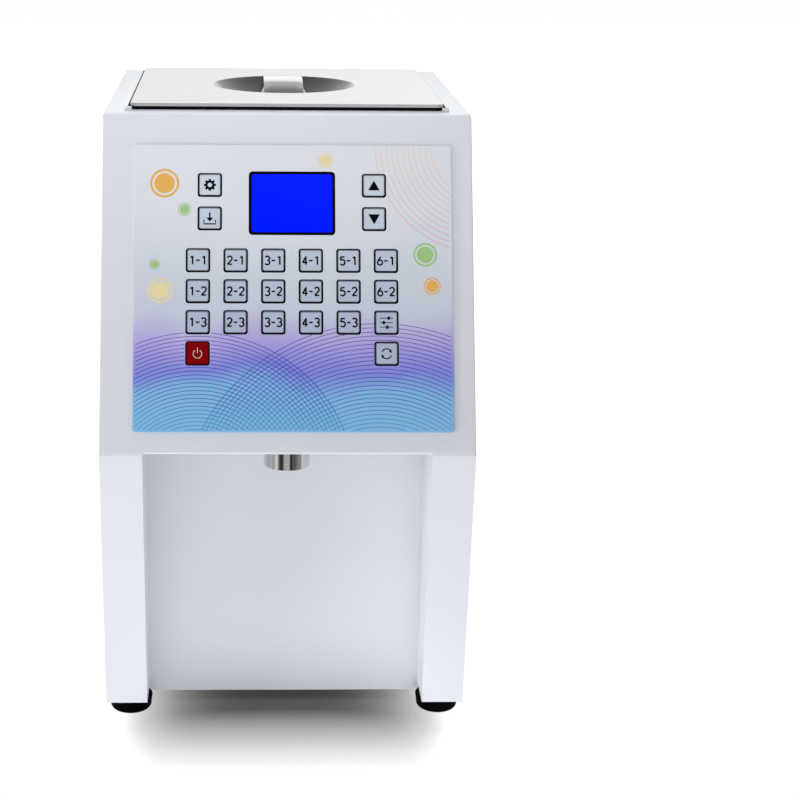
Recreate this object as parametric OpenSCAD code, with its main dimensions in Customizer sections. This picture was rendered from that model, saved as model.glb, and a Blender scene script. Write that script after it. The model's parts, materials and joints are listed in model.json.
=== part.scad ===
// Counter-top powder dispenser: keypad front, lift-off hopper lid, auger and down spout.
// Millimetres. The front faces -Y, +Z is up, the origin is on the floor under the cabinet's middle.

/* [Cabinet] */
// Width across the side panels
body_w = 280; // [276:1:296]
// Depth from the nose to the rear edges
body_d = 386; // [376:1:402]
// Height of the top deck above the floor
deck_z = 467; // [464:1:475]
// Height of the nose, the lower edge of the sloped front
nose_z = 228; // [226:1:230]
// Backward lean of the sloped front in degrees
lean = 23; // [22.5:0.25:24]
// Thickness of the painted sheet
sheet = 1.2; // [1:0.1:1.5]
// Outside radius of the folds
fold_r = 3; // [2.5:0.25:3.5]
// Outside radius of the fold at the nose
nose_r = 1.6; // [1.5:0.1:2]
// Flat pieces that make up one fold
fold_steps = 6; // [4:1:8]
// How far the hood stops short of each side face
hood_inset = 0.8; // [0.6:0.1:1]
// Depth of the folded lips of the hood
hood_lip = 16; // [12:1:18]

/* [Legs and feet] */
// Width of a leg seen from the front
leg_w = 32; // [30:1:34]
// How far the bottom of a leg is set behind the nose
leg_set = 27; // [24:1:30]
// Depth of the cup bay behind the nose
bay_d = 70; // [68:1:76]
// Height of the lower edge of the bay wall above the floor
wall_z = 4; // [3:0.5:6]
// Height of a foot, which is also where the legs end
foot_h = 14; // [12:0.5:16]
// Radius of a foot where it meets the base
foot_top_r = 18; // [17:0.5:18.5]
// Radius of a foot on the floor
foot_low_r = 17; // [16:0.5:17.5]
// Distance of the feet from the side faces
foot_in_x = 19; // [18:0.5:20]
// Distance of the front feet behind the nose
foot_front = 51; // [49:1:53]
// Distance of the rear feet from the rear edges
foot_rear = 40; // [34:1:60]
// Radius of the recess under a foot
foot_bore_r = 6; // [5.5:0.5:8]
// Depth of the recess under a foot
foot_bore = 6; // [5:0.5:8]

/* [Lid] */
// Width of the lid
lid_w = 240; // [236:1:244]
// Depth of the lid
lid_d = 239; // [235:1:241]
// Distance from the lid to the rear edges
lid_back = 33; // [31:1:35]
// Thickness of the lid plate
lid_t = 2.4; // [2.2:0.1:2.6]
// Corner radius of the lid
lid_r = 5; // [4.5:0.5:7]
// Thickness of the gasket under the lid
gasket_t = 2.6; // [2.4:0.1:2.8]
// Width of the gasket
gasket_w = 8; // [7:0.5:9]
// How far the gasket stands in from the lid edge
gasket_in = 2.4; // [2:0.2:2.8]
// How far the side lips of the gasket stand out beyond the lid
gasket_lip = 1.2; // [0.8:0.2:1.6]
// Distance from the lid corners to the ends of the side lips
lip_end = 8; // [7:1:10]
// Radius of the finger dish
dish_r = 58; // [54:1:62]
// Depth of the finger dish
dish_h = 22; // [20:1:26]
// How far the dish sits behind the middle of the lid
dish_back = 4; // [0:1:6]
// Depth of the locating skirt below the lid
skirt_h = 11; // [8:1:14]
// Width of the handle's top
grip_w = 32; // [28:1:34]
// Width of the handle over its flared sides
grip_base = 40; // [37:1:42]
// Height of the handle's flared sides
grip_h = 6; // [5:0.5:7]
// How far the handle's flared sides stop short of the dish edge
grip_short = 11; // [10.5:0.5:14]

/* [Hopper] */
// How far the hopper's walls stand in from the lid edge
hop_in = 12.5; // [12:0.5:14]
// Least room between the top edge of the slope and the hopper's front wall
hop_front = 25; // [24:0.5:30]
// How far the hopper rim stands in from the lid edge
rim_in = 3; // [2.5:0.5:3.5]
// Thickness of the hopper rim
rim_t = 0.8; // [0.6:0.1:1]
// Height above the auger at which the hopper walls stand upright
knee_h = 141; // [130:1:146]
// How far the lower back wall is set in from the upper one
back_in = 55; // [52:1:56]
// Height above the auger at which the lower back wall ends
back_h = 76; // [70:1:80]

/* [Auger] */
// Height of the auger axis above the nose
auger_up = 26; // [25:0.5:28]
// Radius of the auger flight
flight_r = 13.2; // [12.4:0.2:13.2]
// Pitch of the auger flight
flight_pitch = 24; // [20:1:30]
// Thickness of the flight along the shaft
flight_t = 2; // [1.6:0.2:3]
// Radius of the auger and agitator shafts
shaft_r = 4; // [3.5:0.5:4.5]
// Inside radius of the auger tube
tube_r = 13.5; // [13.5:0.1:13.8]
// Wall of the auger tube
tube_t = 1.2; // [1:0.1:1.4]
// Thickness of the auger tube's front cap
cap_t = 2.5; // [2:0.25:3]
// Width of the auger tube's flange
tube_flange = 6; // [5:0.5:7]
// Thickness of the auger tube's flange
tube_flange_t = 2; // [1.5:0.25:2.5]

/* [Spout] */
// Outside radius of the spout
spout_r = 17.5; // [17.4:0.1:18]
// Wall of the spout
spout_t = 2.4; // [2.1:0.1:2.5]
// Distance of the spout axis behind the nose
spout_back = 40; // [39:0.5:42]
// How far the spout hangs below the nose
spout_drop = 20; // [16:1:24]
// How much wider the spout is where it sits in the shelf
spout_step = 0.5; // [0.4:0.1:1]
// How far the tube's outlet ends above the spout's mouth
outlet_up = 9; // [6:1:12]
// Width of the spout's collar
collar_w = 5.5; // [4:0.5:6]
// Thickness of the spout's collar
collar_t = 2; // [1.5:0.25:2.5]

/* [Agitator] */
// Number of cross bars
bar_n = 6; // [4:1:7]
// Reach of a cross bar from the shaft axis
bar_reach = 32; // [28:1:33]
// Radius of a cross bar
bar_r = 2.5; // [2:0.25:3]
// Turn from one cross bar to the next in degrees
bar_turn = 60; // [45:15:90]
// Clear length between the hopper walls and the outer cross bars
bar_end = 18; // [14:1:24]

/* [Drive] */
// Gear module
gear_m = 1.5; // [1.45:0.05:1.55]
// Teeth of the gear on the auger
drive_n = 24; // [22:1:26]
// Teeth of the gear on the agitator
stir_n = 40; // [38:1:41]
// Pressure angle in degrees
press = 20; // [20:1:22]
// Slack between meshed teeth
gear_slack = 0.3; // [0.2:0.05:0.4]
// Width of the gears
gear_w = 8; // [6:0.5:9]
// Gap from the hopper to the gears
gear_gap = 5.5; // [5:0.25:7]
// Radius of the shaft coupling
coup_r = 9; // [8:0.5:10]
// Length of the shaft coupling
coup_len = 17; // [15:1:18]
// Gap at each end of the shaft coupling
coup_gap = 2.5; // [2.3:0.1:3]
// Radius of the motor's output shaft
out_r = 3; // [2.5:0.5:3]
// Radius of the gearbox
gearbox_r = 18; // [17:0.5:18.5]
// Length of the gearbox
gearbox_len = 20; // [18:1:21]
// Radius of the motor
motor_r = 16.5; // [15:0.5:17.5]
// Length of the motor
motor_len = 26; // [22:1:27]
// Thickness of the motor bracket
bracket_t = 2; // [1.5:0.25:2.5]
// Width of the motor bracket
bracket_w = 52; // [50:1:60]
// Length of the motor bracket's foot
bracket_foot = 38; // [34:1:40]
// Radius of the gearbox screw circle
motor_pcd_r = 13; // [12.5:0.25:13.5]

/* [Bushes] */
// Radius of a bush
bush_r = 7; // [6.5:0.25:7.5]
// Radius of a bush flange
bush_flange_r = 9.5; // [9:0.25:10]
// Thickness of a bush flange
bush_flange = 2; // [1.5:0.25:2.25]
// Length of a bush behind its flange
bush_len = 6; // [5:0.5:7]

/* [Keypad] */
// Width of the keypad panel
pad_w = 239; // [232:1:240]
// Height of the keypad panel along the slope
pad_h = 218; // [214:1:222]
// Thickness of the keypad panel
pad_t = 1.6; // [1.5:0.05:1.8]
// Corner radius of the keypad panel
pad_r = 2.5; // [2:0.5:4]
// How far the keypad panel sits to the right of the middle
pad_x = 4.2; // [0:0.2:5]
// Distance of the keypad panel from the top edge along the slope
pad_s = 24.7; // [22:0.5:28]
// Side of the square window of a key
key_hole = 16.6; // [16:0.2:17]
// Gap round a key
key_gap = 0.3; // [0.2:0.05:0.4]
// Corner radius of a key window
key_r = 1.4; // [1.2:0.1:1.8]
// Width of the ledge that holds a key in
key_ledge = 0.9; // [0.8:0.05:1.1]
// Depth of the pocket behind a key window
key_pocket = 0.85; // [0.8:0.05:0.9]
// Thickness of a key's hidden ledge
key_ledge_t = 0.25; // [0.2:0.05:0.25]
// How far a key stands proud of the panel
key_proud = 0.25; // [0.1:0.05:0.4]
// Distance between key columns
key_dx = 28.2; // [27:0.2:29]
// Distance between key rows
key_ds = 23.45; // [23:0.05:24]
// Distance of the first key row from the panel's top edge
key_s = 88.7; // [87:0.1:90]
// How far the keys sit left of the panel's middle
key_left = 1.1; // [0:0.1:2]
// Distance of the side keys from the middle of the keys
side_dx = 61.85; // [60:0.05:63]
// Distance of the upper side keys from the panel's top edge
side_s = 31.1; // [29:0.1:33]
// Distance between the upper and lower side keys
side_ds = 25.65; // [24:0.05:27]

/* [Display] */
// Width of the display lens
lens_w = 62.4; // [60:0.2:64]
// Height of the display lens
lens_h = 46; // [44:0.2:48]
// Corner radius of the display lens
lens_r = 2; // [1:0.5:3]
// Distance of the display's middle from the panel's top edge
lens_s = 44.95; // [43:0.05:47]
// Gap round the display lens
lens_gap = 0.1; // [0.05:0.05:0.2]
// Width of the ledge that carries the display lens
lens_ledge = 3; // [2:0.5:4]
// Width of the display module
lcd_w = 80; // [78:1:90]
// Height of the display module
lcd_h = 58; // [56:1:64]
// Depth of the glass behind the face of the display module
lcd_step = 0.6; // [0.4:0.1:1]

/* [Control board] */
// Width of the control board
board_w = 150; // [140:1:160]
// Height of the control board
board_h = 112; // [104:1:120]
// Thickness of the control board
board_t = 1.6; // [1.2:0.2:2]
// Distance of the board's top edge from the top edge of the slope
board_s = 36; // [34:1:40]
// Length of the standoffs and depth of the display module
standoff = 12; // [10:0.5:13]
// Radius of a standoff
standoff_r = 3.2; // [3:0.1:3.6]
// Distance of the standoffs from the board edges
standoff_in = 6; // [5:0.5:7]
// Height of the tallest parts on the board
board_parts = 9; // [6:1:10]

/* [Power] */
// Width of the power supply
psu_w = 110; // [100:1:120]
// Depth of the power supply
psu_d = 70; // [60:1:80]
// Height of the power supply
psu_h = 38; // [30:1:45]
// Length of a fixing tab
tab_len = 12; // [10:1:14]
// Distance of the inlet and the switch from the left side face
inlet_x = 60; // [50:1:70]
// Height of the inlet's middle above the floor
inlet_z = 58; // [54:1:64]
// Width of the inlet flange
inlet_w = 50; // [48:1:54]
// Height of the inlet flange
inlet_h = 24; // [23:0.5:26]
// Thickness of the inlet flange
inlet_t = 2.5; // [2:0.25:3]
// Width of the inlet socket
socket_w = 24.6; // [24:0.2:25.4]
// Height of the inlet socket
socket_h = 16.9; // [16.5:0.1:17.5]
// Depth of the inlet socket
socket_deep = 16.5; // [16:0.5:18]
// Wall of the inlet body
inlet_wall = 1.6; // [1.2:0.1:2]
// Length of the inlet's contact blades
blade_len = 11; // [10:0.5:11]
// Distance between the inlet's screws
inlet_pitch = 40; // [38:1:41]
// Height of the switch's middle above the inlet's middle
switch_up = 38; // [34:1:50]
// Width of the switch bezel
switch_w = 16; // [15.5:0.25:18]
// Height of the switch bezel
switch_h = 23; // [22:0.5:25]
// Thickness of the switch bezel
switch_t = 1.5; // [1.25:0.25:2]
// Depth of the switch body
switch_deep = 15; // [13:1:18]
// Half of the rocker's swing in degrees
rocker_tilt = 8; // [6:1:9]
// Half of the rocker's height
rocker_half = 7.6; // [7:0.1:7.7]
// How far the rocker's middle stands out of the rear cover
rocker_out = 2.2; // [2:0.1:2.4]
// How much the rocker's ends stand further out than its middle
rocker_rise = 1; // [0.6:0.1:1.2]
// Half of the rocker's width
rocker_wide = 5.5; // [5:0.1:5.6]
// Radius of the rocker's pivot pin
pivot_r = 1.2; // [1:0.1:1.4]

/* [Rear cover] */
// How far the rear cover is set in from the rear edges
cover_in = 7; // [6.5:0.5:8]
// Width of the flanges that carry the rear cover
flange_w = 16; // [14:1:18]
// Gap above and below the rear cover
cover_gap = 3; // [2:0.5:5]
// Number of vent slots
vent_n = 7; // [5:1:8]
// Length of a vent slot
vent_len = 90; // [70:2:110]
// Height of a vent slot
vent_h = 4; // [3:0.5:5]
// Distance between vent slots
vent_step = 12; // [10:0.5:13]
// Height of the lowest vent slot above the floor
vent_z = 300; // [280:5:320]

/* [Screws] */
// Radius of a small screw
screw_r = 1.5; // [1.25:0.25:1.5]
// Length of a small screw
screw_len = 8; // [7:0.5:9]
// Head radius of a small screw
head_r = 3; // [2.5:0.25:3.25]
// Head height of a small screw
head_h = 2; // [1.5:0.25:2.25]
// Radius of a foot screw
foot_screw_r = 2; // [1.75:0.25:2.25]
// Length of a foot screw
foot_screw_len = 14; // [12:1:16]
// Head radius of a foot screw
foot_head_r = 4.5; // [4:0.25:5]
// Head height of a foot screw
foot_head_h = 3; // [2.5:0.25:3.5]
// Depth of the cross recess in a head
recess = 1; // [0.8:0.1:1.2]
// Width of the cross recess in a head
recess_w = 0.8; // [0.6:0.1:1]

/* [Clearances] */
// Running clearance of a shaft in its bush
run_gap = 0.05; // [0.03:0.01:0.08]
// Clearance of a fixed round piece in its hole
fix_gap = 0.1; // [0.05:0.05:0.2]
// Gap between neighbouring sheet pieces
sheet_gap = 0.3; // [0.2:0.1:0.5]
// Gap between the hopper and the deck opening
deck_gap = 0.5; // [0.3:0.1:0.8]
// Gap between the lid skirt and the hopper wall
skirt_gap = 1.5; // [1:0.25:2]
// Least gap between an inner piece and the sheet in front of it
inner_gap = 3; // [2:0.5:4]

/* [Hidden] */
$fn = 64;
// Main planes and edges
half_w = body_w / 2;
in_x = half_w - sheet;
bay_x = half_w - leg_w;
y_nose = -body_d / 2;
y_rear = body_d / 2;
y_top = y_nose + (deck_z - nose_z) * tan(lean);
slope_len = (deck_z - nose_z) / cos(lean);
y_wall = y_nose + bay_d;
shelf_z = nose_z + sheet;
shelf_top = shelf_z + sheet;
leg_top = nose_z - sheet_gap;
lip_y = y_nose + hood_lip;
leg_slope = leg_set / (nose_z - foot_h);
y_cover = y_rear - cover_in;
y_flange = y_cover - sheet;
cover_top = deck_z - hood_lip - cover_gap;
cover_low = foot_h + sheet + cover_gap;
// Lid and hopper
lid_y1 = y_rear - lid_back;
lid_y0 = lid_y1 - lid_d;
lid_y = (lid_y0 + lid_y1) / 2;
rim_top = deck_z + rim_t;
lid_low = rim_top + gasket_t;
lid_top = lid_low + lid_t;
dish_y = lid_y + dish_back;
dish_ball = (dish_r * dish_r + dish_h * dish_h) / (2 * dish_h);
hop_x = lid_w / 2 - hop_in;
hop_y0 = max(lid_y0 + hop_in, y_top + hop_front);
hop_y1 = lid_y1 - hop_in;
low_y = hop_y1 - back_in;
// Auger line, from the spout to the motor
auger_z = nose_z + auger_up;
spout_y = y_nose + spout_back;
tube_out = tube_r + tube_t;
cap_y0 = spout_y - tube_out - cap_t - inner_gap / 2;
cap_y1 = cap_y0 + cap_t;
spout_low = nose_z - spout_drop;
gear_y0 = low_y + gear_gap;
gear_y1 = gear_y0 + gear_w;
coup_y0 = gear_y1 + coup_gap;
coup_y1 = coup_y0 + coup_len;
coup_mid = (coup_y0 + coup_y1) / 2;
bracket_y = coup_y1 + coup_gap;
box_y0 = bracket_y + bracket_t;
box_y1 = box_y0 + gearbox_len;
motor_y1 = box_y1 + motor_len;
bracket_top = auger_z + gearbox_r + 2 * screw_r;
stir_z = auger_z + gear_m * (drive_n + stir_n) / 2;
flight_y0 = spout_y + inner_gap;
flight_y1 = low_y - sheet - bush_len;
// Hole for a small screw
screw_hole = screw_r + fix_gap;
// Inlet and switch at the rear
inlet_mid = inlet_x - half_w;
// Keypad and board on the slope
pad_top = pad_s;
key_x = pad_x - key_left;
key_pad = key_hole - 2 * key_gap;
key_low = key_pocket - key_ledge_t - 2 * run_gap;
lens_mid = pad_s + lens_s;
board_mid = board_s + board_h / 2;
board_n = -sheet - standoff - board_t;
col_n = 6;
// Each key has a name, its column and its row
GRID = concat(
  [for (row = [1:2]) for (col = [1:col_n]) [str("key_", col, "_", row), col, row]],
  [for (col = [1:col_n - 1]) [str("key_", col, "_3"), col, 3]],
  [["key_mode", col_n, 3], ["key_power", 1, 4], ["key_repeat", col_n, 4]]);
// Each side key has a name, its side and its place
SIDES = [["key_set", -1, 0], ["key_store", -1, 1], ["key_up", 1, 0], ["key_down", 1, 1]];
KEYS = concat(
  [for (k = GRID) [k[0], key_x + (k[1] - (col_n + 1) / 2) * key_dx, pad_s + key_s + (k[2] - 1) * key_ds]],
  [for (k = SIDES) [k[0], key_x + k[1] * side_dx, pad_s + side_s + k[2] * side_ds]]);

// Folding rules
function unit(v) = v / norm(v);
function right_of(v) = [v[1], -v[0]];
function corner_in(p, q, s, d) =
  let (u = unit(p - q), w = unit(s - q), half = acos(u * w) / 2)
  q + unit(u + w) * d / sin(half);
function fold(p, q, s, r) =
  let (u = unit(p - q), w = unit(s - q), half = acos(u * w) / 2, c = q + unit(u + w) * r / sin(half),
       a = q + u * r / tan(half) - c, b = q + w * r / tan(half) - c,
       a0 = atan2(a[1], a[0]), turn = (atan2(b[1], b[0]) - a0 + 540) % 360 - 180)
  [for (i = [0:fold_steps]) c + r * [cos(a0 + turn * i / fold_steps), sin(a0 + turn * i / fold_steps)]];
function shifted(path, d) =
  let (last = len(path) - 1)
  [for (i = [0:last])
    i == 0 ? path[0] + right_of(unit(path[1] - path[0])) * d :
    i == last ? path[last] + right_of(unit(path[last] - path[last - 1])) * d :
    corner_in(path[i - 1], path[i], path[i + 1], d)];
function folded(path, rs) =
  let (last = len(path) - 1)
  [for (i = [0:last]) each (i == 0 || i == last ? [path[i]] : fold(path[i - 1], path[i], path[i + 1], rs[i]))];
function backward(list) = [for (i = [len(list) - 1:-1:0]) list[i]];
function strip(path, rs) =
  concat(folded(path, rs), backward(folded(shifted(path, sheet), [for (r = rs) r - sheet])));

// Outline of the hood, from the nose lip over the top to the rear lip
NOSE = [y_nose, nose_z];
TOP = [y_top, deck_z];
REAR = [y_rear, deck_z];
LIP = [lip_y, nose_z];
REAR_LIP = [y_rear, deck_z - hood_lip];
nose_cut = nose_r / tan((90 - lean) / 2);
HOOD_FULL = [LIP, NOSE, TOP, REAR, REAR_LIP];
HOOD_WIDE = [NOSE + unit(TOP - NOSE) * nose_cut, TOP, REAR - [fold_r, 0]];
function leg_y(z) = y_nose + leg_slope * (nose_z - z);
leg_skin = sheet * sqrt(1 + leg_slope * leg_slope);
function slope_in(z) = y_nose + (z - nose_z) * tan(lean) + sheet / cos(lean);

// Placing helpers
module box(p, q) { translate(p) cube(q - p); }
module along_x(x0, x1) { translate([x0, 0, 0]) rotate([90, 0, 90]) linear_extrude(x1 - x0) children(); }
module along_y(y0, y1) { translate([0, y1, 0]) rotate([90, 0, 0]) linear_extrude(y1 - y0) children(); }
module rod_y(r, y0, y1, z) { translate([0, y0, z]) rotate([-90, 0, 0]) cylinder(r = r, h = y1 - y0); }
module both_sides() { children(); mirror([1, 0, 0]) children(); }
module on_slope(x, s, n) {
  translate([x, y_top - s * sin(lean) - n * cos(lean), deck_z - s * cos(lean) + n * sin(lean)])
    rotate([90 - lean, 0, 0]) children();
}
module soft_rect(w, d, r) {
  square([w - 2 * r, d], center = true);
  square([w, d - 2 * r], center = true);
  for (sx = [-1, 1], sy = [-1, 1]) translate([sx * (w / 2 - r), sy * (d / 2 - r)]) circle(r);
}
module soft_slab(w, d, r, h) { linear_extrude(h) soft_rect(w, d, r); }

// Cabinet
module side_panel() {
  top_in = corner_in(NOSE, TOP, REAR, sheet);
  outline = concat(
    [[y_rear, foot_h], [leg_y(foot_h), foot_h], [leg_y(leg_top), leg_top], [slope_in(leg_top), leg_top]],
    fold(NOSE - TOP + top_in, top_in, REAR - TOP + top_in, fold_r + sheet), [[y_rear, deck_z - sheet]]);
  leg = [[leg_y(foot_h), foot_h], [leg_y(leg_top), leg_top],
         [leg_y(leg_top) + leg_skin, leg_top], [leg_y(foot_h) + leg_skin, foot_h]];
  difference() {
    union() {
      along_x(in_x, half_w) polygon(outline);
      along_x(bay_x, half_w) polygon(leg);
      box([in_x - flange_w, y_flange - sheet, cover_low], [half_w - sheet / 2, y_flange, cover_top]);
    }
    for (p = cover_screw_places()) rod_at_cover(p, screw_hole);
  }
}
module left_side_panel() { color("gainsboro") mirror([1, 0, 0]) side_panel(); }
module right_side_panel() { color("gainsboro") side_panel(); }
module top_hood() {
  color("whitesmoke") difference() {
    union() {
      along_x(-in_x + sheet_gap, in_x - sheet_gap) polygon(strip(HOOD_FULL, [0, nose_r, fold_r, fold_r, 0]));
      along_x(-half_w + hood_inset, half_w - hood_inset) polygon(strip(HOOD_WIDE, [0, fold_r, 0]));
    }
    box([-hop_x - deck_gap, hop_y0 - deck_gap, deck_z - 2 * sheet],
        [hop_x + deck_gap, hop_y1 + deck_gap, deck_z + sheet]);
    on_slope(key_x, lens_mid, -2 * sheet)
      soft_slab(lens_w - 2 * lens_ledge, lens_h - 2 * lens_ledge, lens_r, 3 * sheet);
  }
}
module bay_liner() {
  front = [[leg_y(foot_h) + leg_skin, foot_h], [leg_y(leg_top) + leg_skin, leg_top]];
  step_y = lip_y + sheet_gap;
  rear_y = y_wall + sheet;
  side = concat(front, [[step_y, leg_top], [step_y, shelf_z], [rear_y, shelf_z], [rear_y, foot_h]]);
  color("gainsboro") {
    both_sides() along_x(bay_x, bay_x + sheet) polygon(side);
    box([-bay_x - sheet, y_wall, wall_z], [bay_x + sheet, rear_y, shelf_z]);
  }
}
module chassis_shelf() {
  color("silver") difference() {
    union() {
      box([-in_x, slope_in(shelf_top) + fold_r, shelf_z], [in_x, y_flange - sheet - sheet_gap, shelf_top]);
      both_sides() box([in_x - sheet, y_wall + 2 * sheet, shelf_z - flange_w],
                       [in_x, y_flange - 2 * sheet, shelf_top]);
    }
    translate([0, spout_y, shelf_z - sheet]) cylinder(r = spout_r + spout_step + sheet_gap, h = 3 * sheet);
    for (p = bracket_screw_places()) translate([p[0], p[1], shelf_z - sheet])
      cylinder(r = screw_hole, h = 3 * sheet);
  }
}
module base_pan() {
  tab_y = leg_y(foot_h) + leg_skin;
  color("silver") difference() {
    union() {
      box([-in_x, y_wall + sheet, foot_h], [in_x, y_flange - sheet, foot_h + sheet]);
      both_sides() box([bay_x + sheet, tab_y, foot_h], [in_x, y_wall + 2 * sheet, foot_h + sheet]);
      both_sides() box([in_x - sheet, y_wall + 2 * sheet, foot_h],
                       [in_x, y_flange - 2 * sheet, foot_h + flange_w]);
    }
    for (p = foot_places()) translate([p[0], p[1], 0])
      cylinder(r = foot_screw_r + fix_gap, h = foot_h + flange_w);
    for (p = psu_screw_places()) translate([p[0], p[1], foot_h - sheet])
      cylinder(r = screw_hole, h = 3 * sheet);
  }
}
module rear_cover() {
  color("gainsboro") difference() {
    box([-in_x + sheet_gap, y_flange, cover_low], [in_x - sheet_gap, y_cover, cover_top]);
    for (i = [0:vent_n - 1]) translate([0, 0, vent_z + i * vent_step])
      along_y(y_flange - sheet, y_cover + sheet) soft_rect(vent_len, vent_h, vent_h / 2 - fix_gap);
    for (p = cover_screw_places()) both_sides() rod_at_cover(p, screw_hole);
    translate([inlet_mid, 0, inlet_z]) along_y(y_flange - sheet, y_cover + sheet)
      square([inlet_box_w() + 2 * fix_gap, inlet_box_h() + 2 * fix_gap], center = true);
    for (p = inlet_screw_places()) rod_at_cover(p, screw_hole);
    translate([inlet_mid, 0, inlet_z + switch_up]) along_y(y_flange - sheet, y_cover + sheet)
      square([switch_w - 2 * sheet + 2 * fix_gap, switch_h - 2 * sheet + 2 * fix_gap], center = true);
  }
}
module rod_at_cover(p, r) { translate([p[0], 0, p[1]]) rod_y(r, y_flange - 2 * sheet, y_cover + sheet, 0); }

// Feet and screws
function foot_places() =
  [for (sx = [-1, 1], y = [y_nose + foot_front, y_rear - foot_rear]) [sx * (half_w - foot_in_x), y]];
function cover_screw_places() =
  let (span = cover_top - cover_low - 2 * flange_w)
  [for (i = [0:2]) [in_x - flange_w / 2, cover_low + flange_w + i * span / 2]];
function bracket_screw_places() =
  [for (sx = [-1, 1]) [sx * (bracket_w / 2 - 2 * head_r), bracket_y + bracket_foot - 2 * head_r]];
function gearbox_screw_places() = [for (i = [0:3]) motor_pcd_r * [cos(45 + 90 * i), sin(45 + 90 * i)]];
function psu_screw_places() =
  [for (sx = [-1, 1], sy = [-1, 1]) [sx * (psu_w + tab_len) / 2, psu_y() + sy * psu_d / 4]];
function inlet_screw_places() = [for (sx = [-1, 1]) [inlet_mid + sx * inlet_pitch / 2, inlet_z]];
function standoff_places() =
  let (dx = board_w / 2 - standoff_in, ds = board_h / 2 - standoff_in)
  [for (sx = [-1, 1], sy = [-1, 1]) [key_x + sx * dx, board_mid + sy * ds]];
function psu_y() = (y_wall + y_rear) / 2;
module feet() {
  color("black") for (p = foot_places()) translate([p[0], p[1], 0]) difference() {
    cylinder(r1 = foot_low_r, r2 = foot_top_r, h = foot_h);
    translate([0, 0, -foot_bore]) cylinder(r = foot_bore_r, h = 2 * foot_bore);
    cylinder(r = foot_screw_r + fix_gap, h = 2 * foot_h);
  }
}
module screw(r, len, hr, hh) {
  difference() {
    union() {
      cylinder(r = hr, h = hh);
      translate([0, 0, -len]) cylinder(r = r, h = len + hh / 2);
    }
    for (a = [0, 90]) rotate(a) translate([0, 0, hh]) cube([2 * r, recess_w, 2 * recess], center = true);
  }
}
module foot_screws() {
  color("silver") for (p = foot_places()) translate([p[0], p[1], foot_bore]) rotate([180, 0, 0])
    screw(foot_screw_r, foot_screw_len, foot_head_r, foot_head_h);
}
module m3_screw() { screw(screw_r, screw_len, head_r, head_h); }
module m3_screws() {
  color("silver") {
    both_sides() for (p = cover_screw_places())
      translate([p[0], y_cover, p[1]]) rotate([-90, 0, 0]) m3_screw();
    for (p = inlet_screw_places()) translate([p[0], y_cover + inlet_t, p[1]]) rotate([-90, 0, 0]) m3_screw();
    for (p = gearbox_screw_places())
      translate([p[0], bracket_y, auger_z + p[1]]) rotate([90, 0, 0]) m3_screw();
    for (p = bracket_screw_places()) translate([p[0], p[1], shelf_top + bracket_t]) m3_screw();
    for (p = psu_screw_places()) translate([p[0], p[1], foot_h + 2 * sheet]) m3_screw();
    for (p = standoff_places()) on_slope(p[0], p[1], board_n) rotate([180, 0, 0]) m3_screw();
  }
}

// Hopper and powder path
module hopper_form(t) {
  low = tube_out - t;
  intersection() {
    along_y(hop_y0 + t, hop_y1 - t) {
      polygon([[-hop_x + t, rim_top], [-hop_x + t, auger_z + knee_h], [-low, auger_z],
               [low, auger_z], [hop_x - t, auger_z + knee_h], [hop_x - t, rim_top]]);
      translate([0, auger_z]) circle(low);
    }
    along_x(-hop_x, hop_x) polygon([
      [hop_y0 + t, rim_top], [hop_y0 + t, auger_z - 2 * tube_out], [low_y - t, auger_z - 2 * tube_out],
      [low_y - t, auger_z + back_h], [hop_y1 - t, auger_z + knee_h], [hop_y1 - t, rim_top]]);
  }
}
module hopper() {
  color("lightsteelblue") difference() {
    union() {
      hopper_form(0);
      translate([0, lid_y, deck_z]) soft_slab(lid_w - 2 * rim_in, lid_d - 2 * rim_in, lid_r - rim_in, rim_t);
    }
    hopper_form(tube_t);
    box([-hop_x + tube_t, hop_y0 + tube_t, deck_z - sheet],
        [hop_x - tube_t, hop_y1 - tube_t, rim_top + sheet]);
    rod_y(tube_r, hop_y0 - tube_t, hop_y0 + 2 * tube_t, auger_z);
    rod_y(bush_r + fix_gap, low_y - 2 * tube_t, low_y + tube_t, auger_z);
    rod_y(bush_r + fix_gap, low_y - 2 * tube_t, low_y + tube_t, stir_z);
    rod_y(bush_r + fix_gap, hop_y0 - tube_t, hop_y0 + 2 * tube_t, stir_z);
  }
}
module auger_tube() {
  color("lightsteelblue") difference() {
    union() {
      rod_y(tube_out, cap_y0, hop_y0, auger_z);
      rod_y(tube_out + tube_flange, hop_y0 - tube_flange_t, hop_y0, auger_z);
      translate([0, spout_y, spout_low + outlet_up])
        cylinder(r = tube_out, h = auger_z - spout_low - outlet_up);
    }
    rod_y(tube_r, cap_y1, hop_y0 + tube_t, auger_z);
    translate([0, spout_y, spout_low]) cylinder(r = tube_r, h = auger_z - spout_low);
    rod_y(bush_r + fix_gap, cap_y0 - cap_t, cap_y1 + cap_t, auger_z);
  }
}
module spout() {
  color("silver") translate([0, spout_y, 0]) difference() {
    union() {
      translate([0, 0, spout_low]) cylinder(r = spout_r, h = shelf_top + collar_t - spout_low);
      translate([0, 0, nose_z]) cylinder(r = spout_r + spout_step, h = shelf_top + collar_t - nose_z);
      translate([0, 0, shelf_top]) cylinder(r = spout_r + collar_w, h = collar_t);
    }
    translate([0, 0, spout_low - collar_t])
      cylinder(r = spout_r - spout_t, h = shelf_top - spout_low + 3 * collar_t);
  }
}
module bush() {
  difference() {
    union() {
      translate([0, -bush_flange, 0]) rod_y(bush_flange_r, 0, bush_flange, 0);
      rod_y(bush_r, -bush_flange / 2, bush_len, 0);
    }
    rod_y(shaft_r + run_gap, -2 * bush_flange, 2 * bush_len, 0);
  }
}
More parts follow.
